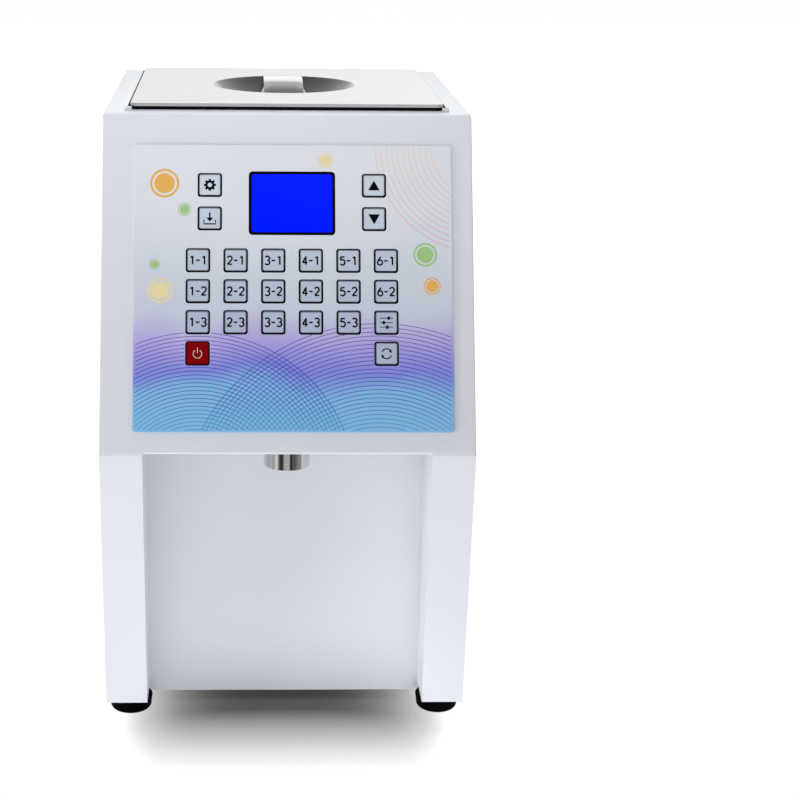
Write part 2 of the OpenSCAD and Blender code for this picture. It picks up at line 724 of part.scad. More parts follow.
module shaft_bushes() {
  color("tan") {
    translate([0, cap_y0, auger_z]) bush();
    translate([0, hop_y0, stir_z]) bush();
    for (z = [auger_z, stir_z]) translate([0, low_y, z]) rotate(180) bush();
  }
}

// Turning pieces
flight_steps = 20;
function flight_ring(i) =
  let (a = 360 * i / flight_steps,
       y = flight_y0 + flight_pitch * i / flight_steps,
       core = shaft_r - 4 * run_gap)
  [for (q = [[core, 0], [flight_r, 0], [flight_r, flight_t], [core, flight_t]])
    [q[0] * cos(a), y + q[1], auger_z + q[0] * sin(a)]];
module flight() {
  last = floor(flight_steps * (flight_y1 - flight_y0 - flight_t) / flight_pitch);
  points = [for (i = [0:last]) each flight_ring(i)];
  sides = [for (i = [0:last - 1], j = [0:3]) each
    let (a = 4 * i + j, b = 4 * i + (j + 1) % 4) [[a, a + 4, b], [b, a + 4, b + 4]]];
  end = 4 * last;
  ends = [[0, 1, 2], [0, 2, 3], [end, end + 2, end + 1], [end, end + 3, end + 2]];
  polyhedron(points, concat(sides, ends), convexity = 20);
}
module auger() {
  color("silver") {
    rod_y(shaft_r, cap_y0 - bush_flange, coup_mid - run_gap, auger_z);
    flight();
  }
}
module agitator() {
  y0 = hop_y0 + bar_end;
  y1 = low_y - bar_end;
  color("silver") {
    rod_y(shaft_r, hop_y0 - bush_flange, gear_y1 + run_gap, stir_z);
    for (i = [0:bar_n - 1])
      translate([0, y0 + (y1 - y0) * i / (bar_n - 1), stir_z])
        rotate([0, bar_turn * i, 0])
          translate([0, 0, -bar_reach]) cylinder(r = bar_r, h = 2 * bar_reach);
  }
}
function involute(a) = tan(a) * 180 / PI - a;
function half_tooth(n, r) =
  let (pitch_r = gear_m * n / 2, base_r = pitch_r * cos(press), a = r > base_r ? acos(base_r / r) : 0)
  90 / n + involute(press) - involute(a) - gear_slack / (2 * pitch_r) * 90 / PI;
// Steps up a tooth flank, and the tooth's depth and height in modules
flank_steps = 4;
tooth_low = 1.25;
tooth_high = 0.95;
function flank_r(n, i) = gear_m * (n / 2 - tooth_low + (tooth_low + tooth_high) * i / flank_steps);
function flank_point(n, i, a, side) =
  let (r = flank_r(n, i), t = a + side * half_tooth(n, r))
  r * [cos(t), sin(t)];
function gear_points(n, first) =
  [for (k = [0:n - 1]) let (a = first + 360 * k / n) each concat(
    [for (i = [0:flank_steps]) flank_point(n, i, a, -1)],
    [for (i = [flank_steps:-1:0]) flank_point(n, i, a, 1)])];
module gear(n, first, z) {
  difference() {
    translate([0, 0, z]) along_y(gear_y0, gear_y1) polygon(gear_points(n, first));
    rod_y(shaft_r + run_gap, gear_y0 - gear_w, gear_y1 + gear_w, z);
  }
}
module drive_gear() { color("ivory") gear(drive_n, 90, auger_z); }
module agitator_gear() { color("ivory") gear(stir_n, 270 + 180 / stir_n, stir_z); }
module shaft_coupling() {
  color("silver") difference() {
    rod_y(coup_r, coup_y0, coup_y1, auger_z);
    rod_y(shaft_r + run_gap, coup_y0 - coup_gap, coup_mid, auger_z);
    rod_y(out_r + run_gap, coup_mid - run_gap, coup_y1 + coup_gap, auger_z);
  }
}
module motor_shaft() { color("silver") rod_y(out_r, coup_mid + run_gap, box_y1 - 2 * bracket_t, auger_z); }
module gearmotor() {
  color("dimgray") difference() {
    union() {
      rod_y(gearbox_r, box_y0, box_y1, auger_z);
      rod_y(motor_r, box_y1 - bracket_t, motor_y1, auger_z);
    }
    rod_y(out_r + run_gap, box_y0 - bracket_t, box_y1 - 2 * bracket_t + run_gap, auger_z);
    for (p = gearbox_screw_places()) translate([p[0], 0, auger_z + p[1]])
      rod_y(screw_hole, box_y0 - bracket_t, box_y0 + screw_len, 0);
  }
}
module motor_bracket() {
  color("silver") difference() {
    union() {
      box([-bracket_w / 2, bracket_y, shelf_top], [bracket_w / 2, box_y0, bracket_top]);
      box([-bracket_w / 2, bracket_y, shelf_top],
          [bracket_w / 2, bracket_y + bracket_foot, shelf_top + bracket_t]);
    }
    rod_y(out_r + coup_gap, bracket_y - bracket_t, box_y0 + bracket_t, auger_z);
    for (p = gearbox_screw_places()) translate([p[0], 0, auger_z + p[1]])
      rod_y(screw_hole, bracket_y - bracket_t, box_y0 + bracket_t, 0);
    for (p = bracket_screw_places()) translate([p[0], p[1], shelf_z])
      cylinder(r = screw_hole, h = 4 * bracket_t);
  }
}

// Lid
module lid() {
  skirt_x = hop_x - tube_t - skirt_gap;
  skirt_y0 = hop_y0 + tube_t + skirt_gap;
  skirt_y1 = hop_y1 - tube_t - skirt_gap;
  ball_z = lid_low - dish_h + dish_ball;
  color("lightgray") difference() {
    union() {
      translate([0, lid_y, lid_low]) soft_slab(lid_w, lid_d, lid_r, lid_t);
      intersection() {
        translate([0, dish_y, ball_z]) sphere(dish_ball + sheet);
        translate([0, dish_y, lid_low - 2 * dish_h]) cylinder(r = 2 * dish_r, h = 2 * dish_h + lid_t / 2);
      }
      difference() {
        box([-skirt_x, skirt_y0, lid_low - skirt_h], [skirt_x, skirt_y1, lid_low + lid_t / 2]);
        box([-skirt_x + sheet, skirt_y0 + sheet, lid_low - 2 * skirt_h],
            [skirt_x - sheet, skirt_y1 - sheet, lid_low]);
      }
    }
    intersection() {
      translate([0, dish_y, ball_z]) sphere(dish_ball);
      translate([0, dish_y, lid_low - 2 * dish_h]) cylinder(r = 2 * dish_r, h = 2 * dish_h);
    }
    translate([0, dish_y, lid_low]) cylinder(r = dish_r, h = 3 * lid_t);
  }
}
module lid_handle() {
  flare = [[grip_base / 2, 0], [grip_w / 2, grip_h], [-grip_w / 2, grip_h], [-grip_base / 2, 0]];
  inner = [[-grip_base / 2 + sheet, 0], [-grip_w / 2 + sheet / 2, grip_h - sheet],
           [grip_w / 2 - sheet / 2, grip_h - sheet], [grip_base / 2 - sheet, 0]];
  leg = dish_r - grip_short;
  color("silver") translate([0, dish_y, lid_top - grip_h]) {
    along_y(-leg, leg) polygon(concat(flare, inner));
    intersection() {
      box([-grip_w / 2, -dish_r, grip_h - sheet], [grip_w / 2, dish_r, grip_h]);
      cylinder(r = dish_r - run_gap, h = 2 * grip_h);
    }
  }
}
module lid_gasket() {
  in_w = lid_w - 2 * gasket_in;
  in_d = lid_d - 2 * gasket_in;
  color("black") translate([0, lid_y, rim_top]) difference() {
    union() {
      soft_slab(in_w, in_d, lid_r - gasket_in, gasket_t);
      translate([0, 0, gasket_t / 2])
        cube([lid_w + 2 * gasket_lip, lid_d - 2 * lip_end, gasket_t], center = true);
    }
    translate([0, 0, -gasket_t]) linear_extrude(3 * gasket_t)
      square([in_w - 2 * gasket_w, in_d - 2 * gasket_w], center = true);
  }
}

// Keypad and display
module keypad_panel() {
  pocket = key_hole + 2 * key_ledge;
  color("aliceblue") difference() {
    on_slope(pad_x, pad_s + pad_h / 2, 0) soft_slab(pad_w, pad_h, pad_r, pad_t);
    for (k = KEYS) on_slope(k[1], k[2], 0) {
      translate([0, 0, -pad_t]) soft_slab(key_hole, key_hole, key_r, 3 * pad_t);
      translate([0, 0, -pad_t]) soft_slab(pocket, pocket, key_r, pad_t + key_pocket);
    }
    on_slope(key_x, lens_mid, -pad_t)
      soft_slab(lens_w + 2 * lens_gap, lens_h + 2 * lens_gap, lens_r + lens_gap, 3 * pad_t);
  }
}
module key_piece(k) {
  ledge = key_pad + 2 * key_ledge;
  color("lightblue") on_slope(k[1], k[2], key_low) {
    soft_slab(ledge, ledge, key_r - key_gap, key_ledge_t);
    soft_slab(key_pad, key_pad, key_r - key_gap, pad_t + key_proud - key_low);
  }
}
module display_lens() { color("blue") on_slope(key_x, lens_mid, 0) soft_slab(lens_w, lens_h, lens_r, pad_t); }
module display_module() {
  color("dimgray") on_slope(key_x, lens_mid, -sheet - standoff) difference() {
    translate([-lcd_w / 2, -lcd_h / 2, 0]) cube([lcd_w, lcd_h, standoff]);
    translate([0, 0, standoff - lcd_step])
      soft_slab(lens_w - 2 * lens_ledge, lens_h - 2 * lens_ledge, lens_r, standoff);
  }
}
module control_board() {
  chip = board_parts / 2;
  color("seagreen") difference() {
    on_slope(key_x, board_mid, board_n) {
      translate([-board_w / 2, -board_h / 2, 0]) cube([board_w, board_h, board_t]);
      for (sx = [-1, 0, 1]) translate([sx * board_w / 4 - chip, -board_h / 3, -board_parts])
        cube([3 * chip, 4 * chip, board_parts + board_t / 2]);
      translate([-2 * chip, 0, -chip / 2]) cube([4 * chip, 4 * chip, chip / 2 + board_t / 2]);
    }
    for (p = standoff_places()) on_slope(p[0], p[1], board_n - board_t)
      cylinder(r = screw_hole, h = 3 * board_t);
  }
}
module board_standoffs() {
  color("gold") for (p = standoff_places()) on_slope(p[0], p[1], -sheet - standoff) difference() {
    cylinder(r = standoff_r, h = standoff);
    translate([0, 0, -board_t]) cylinder(r = screw_hole, h = screw_len + board_t);
  }
}

// Power
module power_supply() {
  z0 = foot_h + sheet;
  y0 = psu_y() - psu_d / 2;
  color("silver") difference() {
    union() {
      translate([-psu_w / 2, y0, z0]) cube([psu_w, psu_d, psu_h]);
      translate([-psu_w / 2 - tab_len, y0, z0]) cube([psu_w + 2 * tab_len, psu_d, sheet]);
    }
    translate([-psu_w / 2 + sheet, y0 + sheet, z0 - sheet])
      cube([psu_w - 2 * sheet, psu_d - 2 * sheet, psu_h]);
    for (p = psu_screw_places()) translate([p[0], p[1], foot_h])
      cylinder(r = screw_hole, h = psu_h / 2);
  }
}
function inlet_box_w() = socket_w + 2 * inlet_wall;
function inlet_box_h() = socket_h + 2 * inlet_wall;
module power_inlet() {
  mouth_y = y_cover + inlet_t;
  floor_y = mouth_y - socket_deep;
  blades = [[-socket_w / 4, -socket_h / 8], [socket_w / 4, -socket_h / 8], [0, socket_h / 5]];
  color("black") translate([inlet_mid, 0, inlet_z]) {
    difference() {
      union() {
        along_y(y_cover, mouth_y) soft_rect(inlet_w, inlet_h, inlet_t);
        along_y(floor_y - inlet_wall, y_cover + inlet_t / 2)
          square([inlet_box_w(), inlet_box_h()], center = true);
      }
      along_y(floor_y, mouth_y + inlet_t) square([socket_w, socket_h], center = true);
      for (sx = [-1, 1]) translate([sx * inlet_pitch / 2, 0, 0])
        rod_y(screw_hole, y_cover - inlet_t, mouth_y + inlet_t, 0);
    }
    for (b = blades) translate([b[0], 0, b[1]])
      along_y(floor_y - inlet_wall / 2, floor_y + blade_len) square([sheet, 2 * sheet], center = true);
  }
}
module switch_body() {
  well_w = 2 * rocker_wide + 2 * sheet_gap;
  well_h = 2 * rocker_half + 4 * sheet_gap;
  color("black") translate([inlet_mid, y_cover, inlet_z + switch_up]) difference() {
    union() {
      along_y(0, switch_t) soft_rect(switch_w, switch_h, switch_t);
      along_y(-switch_deep, switch_t / 2) square([switch_w - 2 * sheet, switch_h - 2 * sheet], center = true);
    }
    along_y(-switch_deep / 2, 2 * switch_t) square([well_w, well_h], center = true);
    translate([-rocker_wide - 2 * sheet_gap - run_gap, 0, 0]) rotate([0, 90, 0])
      cylinder(r = pivot_r + run_gap, h = 2 * (rocker_wide + 2 * sheet_gap + run_gap));
  }
}
module switch_rocker() {
  end_y = rocker_out + rocker_rise;
  side = [[-rocker_out, -rocker_half / 2], [-rocker_out, rocker_half / 2], [0, rocker_half],
          [end_y, rocker_half], [rocker_out, 0], [end_y, -rocker_half], [0, -rocker_half]];
  color("firebrick") translate([inlet_mid, y_cover, inlet_z + switch_up]) rotate([-rocker_tilt, 0, 0]) {
    along_x(-rocker_wide, rocker_wide) polygon(side);
    translate([-rocker_wide - 2 * sheet_gap, 0, 0]) rotate([0, 90, 0])
      cylinder(r = pivot_r, h = 2 * (rocker_wide + 2 * sheet_gap));
  }
}

left_side_panel();
right_side_panel();
top_hood();
bay_liner();
chassis_shelf();
base_pan();
rear_cover();
feet();
foot_screws();
m3_screws();
hopper();
auger_tube();
spout();
shaft_bushes();
auger();
drive_gear();
shaft_coupling();
motor_shaft();
agitator();
agitator_gear();
gearmotor();
motor_bracket();
lid();
lid_handle();
lid_gasket();
keypad_panel();
display_lens();
display_module();
control_board();
board_standoffs();
power_supply();
power_inlet();
switch_body();
switch_rocker();
for (k = KEYS) key_piece(k);
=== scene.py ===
"""Looks of a counter-top powder dispenser: its finishes, printed panel, lid, feet and studio."""

import json
import logging
import math
from dataclasses import dataclass, field
from enum import Enum
from typing import Any, Callable, Sequence

import bmesh
import bpy
from mathutils import Matrix, Vector
from mathutils.geometry import tessellate_polygon


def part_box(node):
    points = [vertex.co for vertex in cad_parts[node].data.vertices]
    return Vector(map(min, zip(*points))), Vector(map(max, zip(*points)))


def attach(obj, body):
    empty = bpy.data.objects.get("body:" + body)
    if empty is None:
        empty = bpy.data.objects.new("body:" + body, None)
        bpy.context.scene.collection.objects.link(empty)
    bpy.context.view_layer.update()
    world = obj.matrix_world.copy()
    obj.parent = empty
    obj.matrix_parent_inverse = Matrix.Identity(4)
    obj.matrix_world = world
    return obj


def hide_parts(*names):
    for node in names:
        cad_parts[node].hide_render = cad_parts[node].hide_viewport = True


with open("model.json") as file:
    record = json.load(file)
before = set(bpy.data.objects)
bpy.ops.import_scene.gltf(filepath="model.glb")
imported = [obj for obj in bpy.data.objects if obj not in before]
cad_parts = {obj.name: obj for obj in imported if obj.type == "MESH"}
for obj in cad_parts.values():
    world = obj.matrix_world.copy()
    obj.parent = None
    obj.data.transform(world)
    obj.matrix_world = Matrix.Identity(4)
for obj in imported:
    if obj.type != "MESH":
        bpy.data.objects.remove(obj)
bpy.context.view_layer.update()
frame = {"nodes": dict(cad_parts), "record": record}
LOG = logging.getLogger("dispenser")
MM = 0.001
WHITE = (1.0, 1.0, 1.0, 1.0)
CREASE = 35.0
LEAST_ROUGHNESS = 0.02
EDGE_SAMPLES = 6
BEVEL_STEPS = 3
CORNER_STEPS = 6

Point = tuple[float, float]
Point3 = tuple[float, float, float]
Stops = Sequence[tuple[float, str]]
Place = Callable[[float, float, float], Vector]
Socket = bpy.types.NodeSocket
Tree = bpy.types.NodeTree


class Brush(Enum):
    """How far a surface pattern is stretched along x, y and z."""

    NONE = (1.0, 1.0, 1.0)
    ALONG_X = (90.0, 1.0, 1.0)
    ALONG_Y = (1.0, 90.0, 1.0)
    ALONG_Z = (1.0, 1.0, 90.0)


def linear(colour: str) -> tuple[float, float, float, float]:
    """Turn an sRGB hex colour into linear red, green, blue and alpha.

    Args:
        colour: Six hex digits after a hash.

    Returns:
        Linear colour with full alpha.
    """
    parts = [int(colour[i:i + 2], 16) / 255 for i in (1, 3, 5)]
    red, green, blue = [p / 12.92 if p <= 0.04045 else ((p + 0.055) / 1.055) ** 2.4 for p in parts]
    return red, green, blue, 1.0


def shade(colour: str, share: float) -> tuple[float, float, float, float]:
    """Lighten or darken a hex colour by a share, in linear light.

    Args:
        colour: sRGB hex colour.
        share: Factor on the linear colour.

    Returns:
        Linear colour with full alpha.
    """
    red, green, blue, alpha = linear(colour)
    return min(red * share, 1.0), min(green * share, 1.0), min(blue * share, 1.0), alpha


def empty_tree(holder: bpy.types.Material | bpy.types.World) -> Tree:
    """Give a material or a world an empty node tree.

    Args:
        holder: The material or world.

    Returns:
        Its tree.
    """
    holder.use_nodes = True
    holder.node_tree.nodes.clear()
    return holder.node_tree


def add_node(
    tree: Tree,
    kind: str,
    settings: dict[str | int, Any] | None = None,
    links: dict[str | int, Socket | bpy.types.Node] | None = None,
) -> bpy.types.Node:
    """Add a shader node with its settings and links.

    Args:
        tree: Tree that gets the node.
        kind: Type name of the node, without the words that all shader nodes share.
        settings: Values of inputs, by name or number, or of the node's own properties.
        links: Outputs, or nodes with their first output, that feed the inputs, by name or number.

    Returns:
        The new node.
    """
    node = tree.nodes.new("ShaderNode" + kind)
    for key, value in (settings or {}).items():
        if isinstance(key, int) or key in node.inputs:
            node.inputs[key].default_value = value
        else:
            setattr(node, key, value)
    for key, source in (links or {}).items():
        output = source.outputs[0] if isinstance(source, bpy.types.Node) else source
        tree.links.new(output, node.inputs[key])
    return node


def set_stops(ramp: bpy.types.Node, stops: Stops) -> None:
    """Give a colour ramp its stops.

    Args:
        ramp: Colour ramp node.
        stops: Places from 0 to 1 with their sRGB hex colours.
    """
    elements = ramp.color_ramp.elements
    while len(elements) < len(stops):
        elements.new(0.5)
    for element, (place, colour) in zip(elements, stops):
        element.position = place
        element.color = linear(colour)


@dataclass(frozen=True)
class Finish:
    """A real material and how its surface was made. Sizes are in millimetres, colours in sRGB hex."""

    name: str
    colour: str
    roughness: float
    metallic: float = 0.0
    ior: float = 1.5
    coat: float = 0.0
    coat_roughness: float = 0.2
    grain: float = 1.0
    brush: Brush = Brush.NONE
    relief: float = 0.0
    mottle: float = 0.03
    wear: float = 0.04
    edge: float = 0.0
    gloss: float = 0.5
    glow: float = 0.0

    def build(self) -> bpy.types.Material:
        """Make the node material, unless it is made already.

        Returns:
            The material.
        """
        known = bpy.data.materials.get(self.name)
        if known:
            return known
        material = bpy.data.materials.new(self.name)
        tree = empty_tree(material)
        place = add_node(tree, "TexCoord").outputs["Object"]
        pattern = self.pattern(tree, place)
        colour = self.tint(tree, place, pattern)
        smooth = max(self.roughness - self.wear, LEAST_ROUGHNESS)
        worn = min(self.roughness + self.wear, 1.0)
        rough = add_node(tree, "MapRange", {"To Min": smooth, "To Max": worn}, {"Value": pattern})
        constants: dict[str | int, Any] = {
            "Metallic": self.metallic, "Coat Weight": self.coat, "Coat Roughness": self.coat_roughness,
        }
        if not self.metallic:
            constants["IOR"] = self.ior
            constants["Specular IOR Level"] = self.gloss
        links = {"Base Color": colour, "Roughness": rough}
        if self.glow:
            constants["Emission Strength"] = self.glow
            links["Emission Color"] = colour
        normal = self.normal(tree, pattern)
        if normal:
            links["Normal"] = normal
        lit = self.light(tree, place)
        if lit:
            constants["Emission Color"] = WHITE
            links["Emission Strength"] = lit
        shader = add_node(tree, "BsdfPrincipled", constants, links)
        add_node(tree, "OutputMaterial", links={"Surface": shader})
        return material

    def pattern(self, tree: Tree, place: Socket) -> Socket:
        """Lay the surface pattern, from 0 to 1.

        Args:
            tree: Material tree.
            place: Position on the part in metres.

        Returns:
            Output with the pattern.
        """
        scale = [1 / (self.grain * MM * stretch) for stretch in self.brush.value]
        mapped = add_node(tree, "Mapping", {"Scale": scale}, {"Vector": place})
        clouds = {"Scale": 1.0, "Detail": 3.0, "Roughness": 0.55}
        noise = add_node(tree, "TexNoise", clouds, {"Vector": mapped})
        return noise.outputs[0]

    def tint(self, tree: Tree, place: Socket, pattern: Socket) -> Socket:
        """Vary the colour with the pattern.

        Args:
            tree: Material tree.
            place: Position on the part in metres.
            pattern: Surface pattern from 0 to 1.

        Returns:
            Output with the colour.
        """
        darker, lighter = (shade(self.colour, 1 + share) for share in (-self.mottle, self.mottle))
        mixed = add_node(tree, "Mix", {"data_type": "RGBA", 6: darker, 7: lighter}, {0: pattern})
        return mixed.outputs[2]

    def light(self, tree: Tree, place: Socket) -> Socket | None:
        """Light that the surface gives off where it isn't the same all over: none."""
        return None

    def normal(self, tree: Tree, pattern: Socket) -> Socket | None:
        """Raise the pattern and soften the edges.

        Args:
            tree: Material tree.
            pattern: Surface pattern from 0 to 1.

        Returns:
            Output with the normal, or None for a plain surface.
        """
        normal = None
        if self.edge:
            rounded = add_node(tree, "Bevel", {"samples": EDGE_SAMPLES, "Radius": self.edge * MM})
            normal = rounded.outputs[0]
        if self.relief:
            links = {"Height": pattern}
            if normal:
                links["Normal"] = normal
            bump = add_node(tree, "Bump", {"Strength": 1.0, "Distance": self.relief * MM}, links)
            normal = bump.outputs[0]
        return normal


@dataclass(frozen=True)
class SpunSteel(Finish):
    """Steel spun on a lathe: fine rings round an upright axis at axis_y millimetres."""

    axis_y: float = 0.0

    def pattern(self, tree: Tree, place: Socket) -> Socket:
        """Lay rings round the axis, from 0 to 1.

        Args:
            tree: Material tree.
            place: Position on the part in metres.

        Returns:
            Output with the rings.
        """
        to_axis = {"Location": (0.0, -self.axis_y * MM, 0.0), "Scale": (1.0, 1.0, 0.0)}
        moved = add_node(tree, "Mapping", to_axis, {"Vector": place})
        away = add_node(tree, "VectorMath", {"operation": "LENGTH"}, {0: moved})
        rings = {"noise_dimensions": "1D", "Scale": 1 / (self.grain * MM), "Detail": 2.0}
        noise = add_node(tree, "TexNoise", rings, {"W": away.outputs["Value"]})
        return noise.outputs[0]


@dataclass(frozen=True)
class ShearedPlate(Finish):
    """Brushed plate whose sheared edges are duller than its faces."""

    edge_colour: str = "#ADADAF"
    level: Point = (0.75, 0.97)

    def tint(self, tree: Tree, place: Socket, pattern: Socket) -> Socket:
        """Give faces that look sideways the colour of the sheared edge.

        Args:
            tree: Material tree.
            place: Position on the part in metres.
            pattern: Surface pattern from 0 to 1.

        Returns:
            Output with the colour.
        """
        face = super().tint(tree, place, pattern)
        facing = add_node(tree, "NewGeometry").outputs["True Normal"]
        split = add_node(tree, "SeparateXYZ", links={0: facing})
        flat = add_node(tree, "Math", {"operation": "ABSOLUTE"}, {0: split.outputs["Z"]})
        limits = {"From Min": self.level[0], "From Max": self.level[1]}
        turn = add_node(tree, "MapRange", limits, {"Value": flat})
        edge = {"data_type": "RGBA", 6: linear(self.edge_colour)}
        mixed = add_node(tree, "Mix", edge, {0: turn, 7: face})
        return mixed.outputs[2]


@dataclass(frozen=True)
class ShadowPaintedFloor(Finish):
    """Studio floor that glows so that it runs into the backdrop, with a painted shadow: the glow falls away
    to a dark patch under the part.
    """

    # middle, half, reach and power place and shape the painted shadow under the part; least is the glow left
    # inside it
    middle: Point = (0.0, 4.0)
    half: Point = (0.0, 154.0)
    reach: Point = (127.0, 104.0)
    power: Point = (4.0, 1.0)
    least: float = 0.045
    strength: float = 1.0

    def light(self, tree: Tree, place: Socket) -> Socket | None:
        """Paint the shadow under the part: let the glow rise with the distance from the dark patch under it.

        Args:
            tree: Material tree.
            place: Position on the floor in metres.

        Returns:
            Output with the light's strength.
        """
        split = add_node(tree, "SeparateXYZ", links={0: place})
        shares = []
        for axis in (0, 1):
            middle = {"operation": "SUBTRACT", 1: self.middle[axis] * MM}
            moved = add_node(tree, "Math", middle, {0: split.outputs[axis]})
            away = add_node(tree, "Math", {"operation": "ABSOLUTE"}, {0: moved})
            start = self.half[axis] * MM
            limits = {"From Min": start, "From Max": start + self.reach[axis] * MM}
            share = add_node(tree, "MapRange", limits, {"Value": away})
            power = {"operation": "POWER", 1: 2 * self.power[axis]}
            raised = add_node(tree, "Math", power, {0: share})
            shares.append(raised.outputs[0])
        both = add_node(tree, "Math", {"operation": "ADD"}, {0: shares[0], 1: shares[1]})
        root = add_node(tree, "Math", {"operation": "SQRT"}, {0: both})
        limits = {"To Min": self.least, "To Max": self.strength}
        rise = add_node(tree, "MapRange", limits, {"Value": root})
        return rise.outputs[0]


@dataclass(frozen=True)
class PrintAndShadeFade(Finish):
    """Ink or film whose colour at the top fades down through stops, in soft clouds; the inks fade as print,
    and the films also hold painted shade that darkens them down the slope. Millimetres.
    """

    stops: Stops = ()
    top: float = 0.0
    bottom: float = 1.0
    drift: float = 0.0
    cloud: float = 71.43

    def tint(self, tree: Tree, place: Socket, pattern: Socket) -> Socket:
        """Run the colour from the top height to the bottom one.

        Args:
            tree: Material tree.
            place: Position on the part in metres.
            pattern: Surface pattern from 0 to 1.

        Returns:
            Output with the colour.
        """
        split = add_node(tree, "SeparateXYZ", links={0: place})
        limits = {"From Min": self.top * MM, "From Max": self.bottom * MM}
        fall = add_node(tree, "MapRange", limits, {"Value": split.outputs["Z"]})
        size = {"Scale": 1 / (self.cloud * MM), "Detail": 1.0}
        cloud = add_node(tree, "TexNoise", size, {"Vector": place})
        drift = {"operation": "MULTIPLY_ADD", 1: self.drift}
        moved = add_node(tree, "Math", drift, {0: cloud, 2: fall})
        ramp = add_node(tree, "ValToRGB", links={0: moved})
        set_stops(ramp, ((0.0, self.colour), *self.stops))
        return ramp.outputs[0]


# Satin polyester powder coat: even white with a faint orange peel that breaks up its soft gloss
PAINT = Finish(
    "polyester_powder_coat_satin_white", "#E6E9F0", 0.34, grain=1.8, relief=0.006, mottle=0.01, edge=0.4
)
# Cold-rolled stainless, brushed across the lid: bright, with long fine lines that smear reflections
LID_STEEL = ShearedPlate(
    "stainless_steel_brushed", "#E2E2E2", 0.26, metallic=0.75, grain=0.5, brush=Brush.ALONG_X,
    relief=0.0004, mottle=0.06, wear=0.06,
)
# Stainless spun into a bowl: smooth, with turning rings drawn coarser than the real ones so they show
BOWL_STEEL = SpunSteel(
    "stainless_steel_spun", "#B4B5B8", 0.24, metallic=1.0, grain=0.6, relief=0.0004, mottle=0.05,
    wear=0.04, axis_y=44.5,
)
# Folded stainless strip with a fine lengthwise polish
GRIP_STEEL = Finish(
    "stainless_steel_strip_polished", "#D4D5D7", 0.14, metallic=1.0, grain=0.4, brush=Brush.ALONG_Y,
    relief=0.0006, mottle=0.04, wear=0.03,
)
# Mirror-polished stainless tube: crisp upright reflections with faint drawing lines
SPOUT_STEEL = Finish(
    "stainless_steel_polished_tube", "#D8D8D6", 0.05, metallic=1.0, grain=0.5, brush=Brush.ALONG_Z,
    relief=0.0002, mottle=0.05, wear=0.02,
)
# Mill-finish stainless sheet of the hopper and its screws: greyer and softer than the lid
MILL_STEEL = Finish(
    "stainless_steel_mill_finish", "#BFC1C4", 0.3, metallic=1.0, grain=0.8, brush=Brush.ALONG_Z,
    relief=0.001, mottle=0.05, edge=0.6,
)
# Zinc-plated steel: dull silver with cloudy patches
ZINC = Finish("zinc_plated_steel", "#AEB2B6", 0.4, metallic=1.0, grain=7.0, mottle=0.12, wear=0.08, edge=0.6)
# Moulded rubber: near black, matt, with a fine mould texture
RUBBER = Finish(
    "moulded_black_rubber", "#030304", 0.6, ior=1.52, grain=0.5, relief=0.02, mottle=0.25, gloss=0.02
)
# Sponge rubber strip: black with open pores that catch dust
SPONGE = Finish(
    "sponge_rubber_strip", "#060607", 0.85, ior=1.52, grain=1.6, relief=0.15, mottle=0.9, wear=0.1, gloss=0.2
)
# Milled acetal: warm white and waxy
ACETAL = Finish("milled_acetal", "#E4E0D2", 0.38, ior=1.48, grain=0.6, relief=0.003, mottle=0.03, edge=0.3)
# Black-painted motor case with a faint drawn grain
MOTOR = Finish("stove_enamel_black", "#26282B", 0.42, grain=1.5, relief=0.006, mottle=0.15, edge=0.5)
# Glass-epoxy board under green solder resist
BOARD = Finish("glass_epoxy_board", "#145A32", 0.35, ior=1.55, coat=0.3, grain=1.2, relief=0.01, mottle=0.2)
# Turned brass: yellow and bright, with lathe marks
BRASS = Finish("turned_brass", "#C9A24A", 0.25, metallic=1.0, grain=0.4, mottle=0.08)
# Moulded ABS: black with a fine spark-eroded texture
ABS = Finish("moulded_black_abs", "#141416", 0.45, ior=1.54, grain=0.35, relief=0.012, mottle=0.2, edge=0.3)
# Moulded red polycarbonate of the rocker: clear gloss
ROCKER = Finish("moulded_red_polycarbonate", "#B01016", 0.22, ior=1.58, grain=2.0, mottle=0.06, edge=0.4)
# Pressed steel frame of the display module, stoved black
MODULE = Finish("pressed_black_steel_frame", "#1E1F22", 0.4, grain=2.0, mottle=0.1, edge=0.3)
# Polyester key film: pale blue-grey with a fine velvet texture, and painted shade that deepens it down the
# panel
KEY_FILM = PrintAndShadeFade(
    "polyester_key_film_painted_shade", "#D2DCE8", 0.4, ior=1.6, grain=0.3, relief=0.004, gloss=0.2,
    top=412.0, bottom=318.0, stops=((1.0, "#B9C3DC"),),
)
# The same film printed deep red on its underside
RED_FILM = Finish(
    "polyester_film_red", "#880006", 0.32, ior=1.6, grain=0.6, relief=0.003, mottle=0.06, gloss=0.1
)
# Clear lens over a lit blue liquid-crystal cell: saturated blue that glows evenly
LENS = Finish(
    "acrylic_lens_lit_blue", "#0013F0", 0.16, ior=1.49, grain=30.0, mottle=0.1, gloss=0.15, glow=0.8
)
# Screen-printed black ink: flat and matt
BLACK_INK = Finish("screen_ink_black", "#06070C", 0.5, grain=0.5, mottle=0.2, gloss=0.08)
# Screen-printed white ink
WHITE_INK = Finish("screen_ink_white", "#F2F2F2", 0.5, grain=0.5, mottle=0.03)
# Screen-printed pastel inks
ORANGE_INK = Finish("screen_ink_orange", "#F2B95C", 0.45, grain=3.0, mottle=0.06)
YELLOW_INK = Finish("screen_ink_yellow", "#F3E3AE", 0.45, grain=3.0, mottle=0.04)
LIME_INK = Finish("screen_ink_lime", "#A9D08A", 0.45, grain=3.0, mottle=0.06)
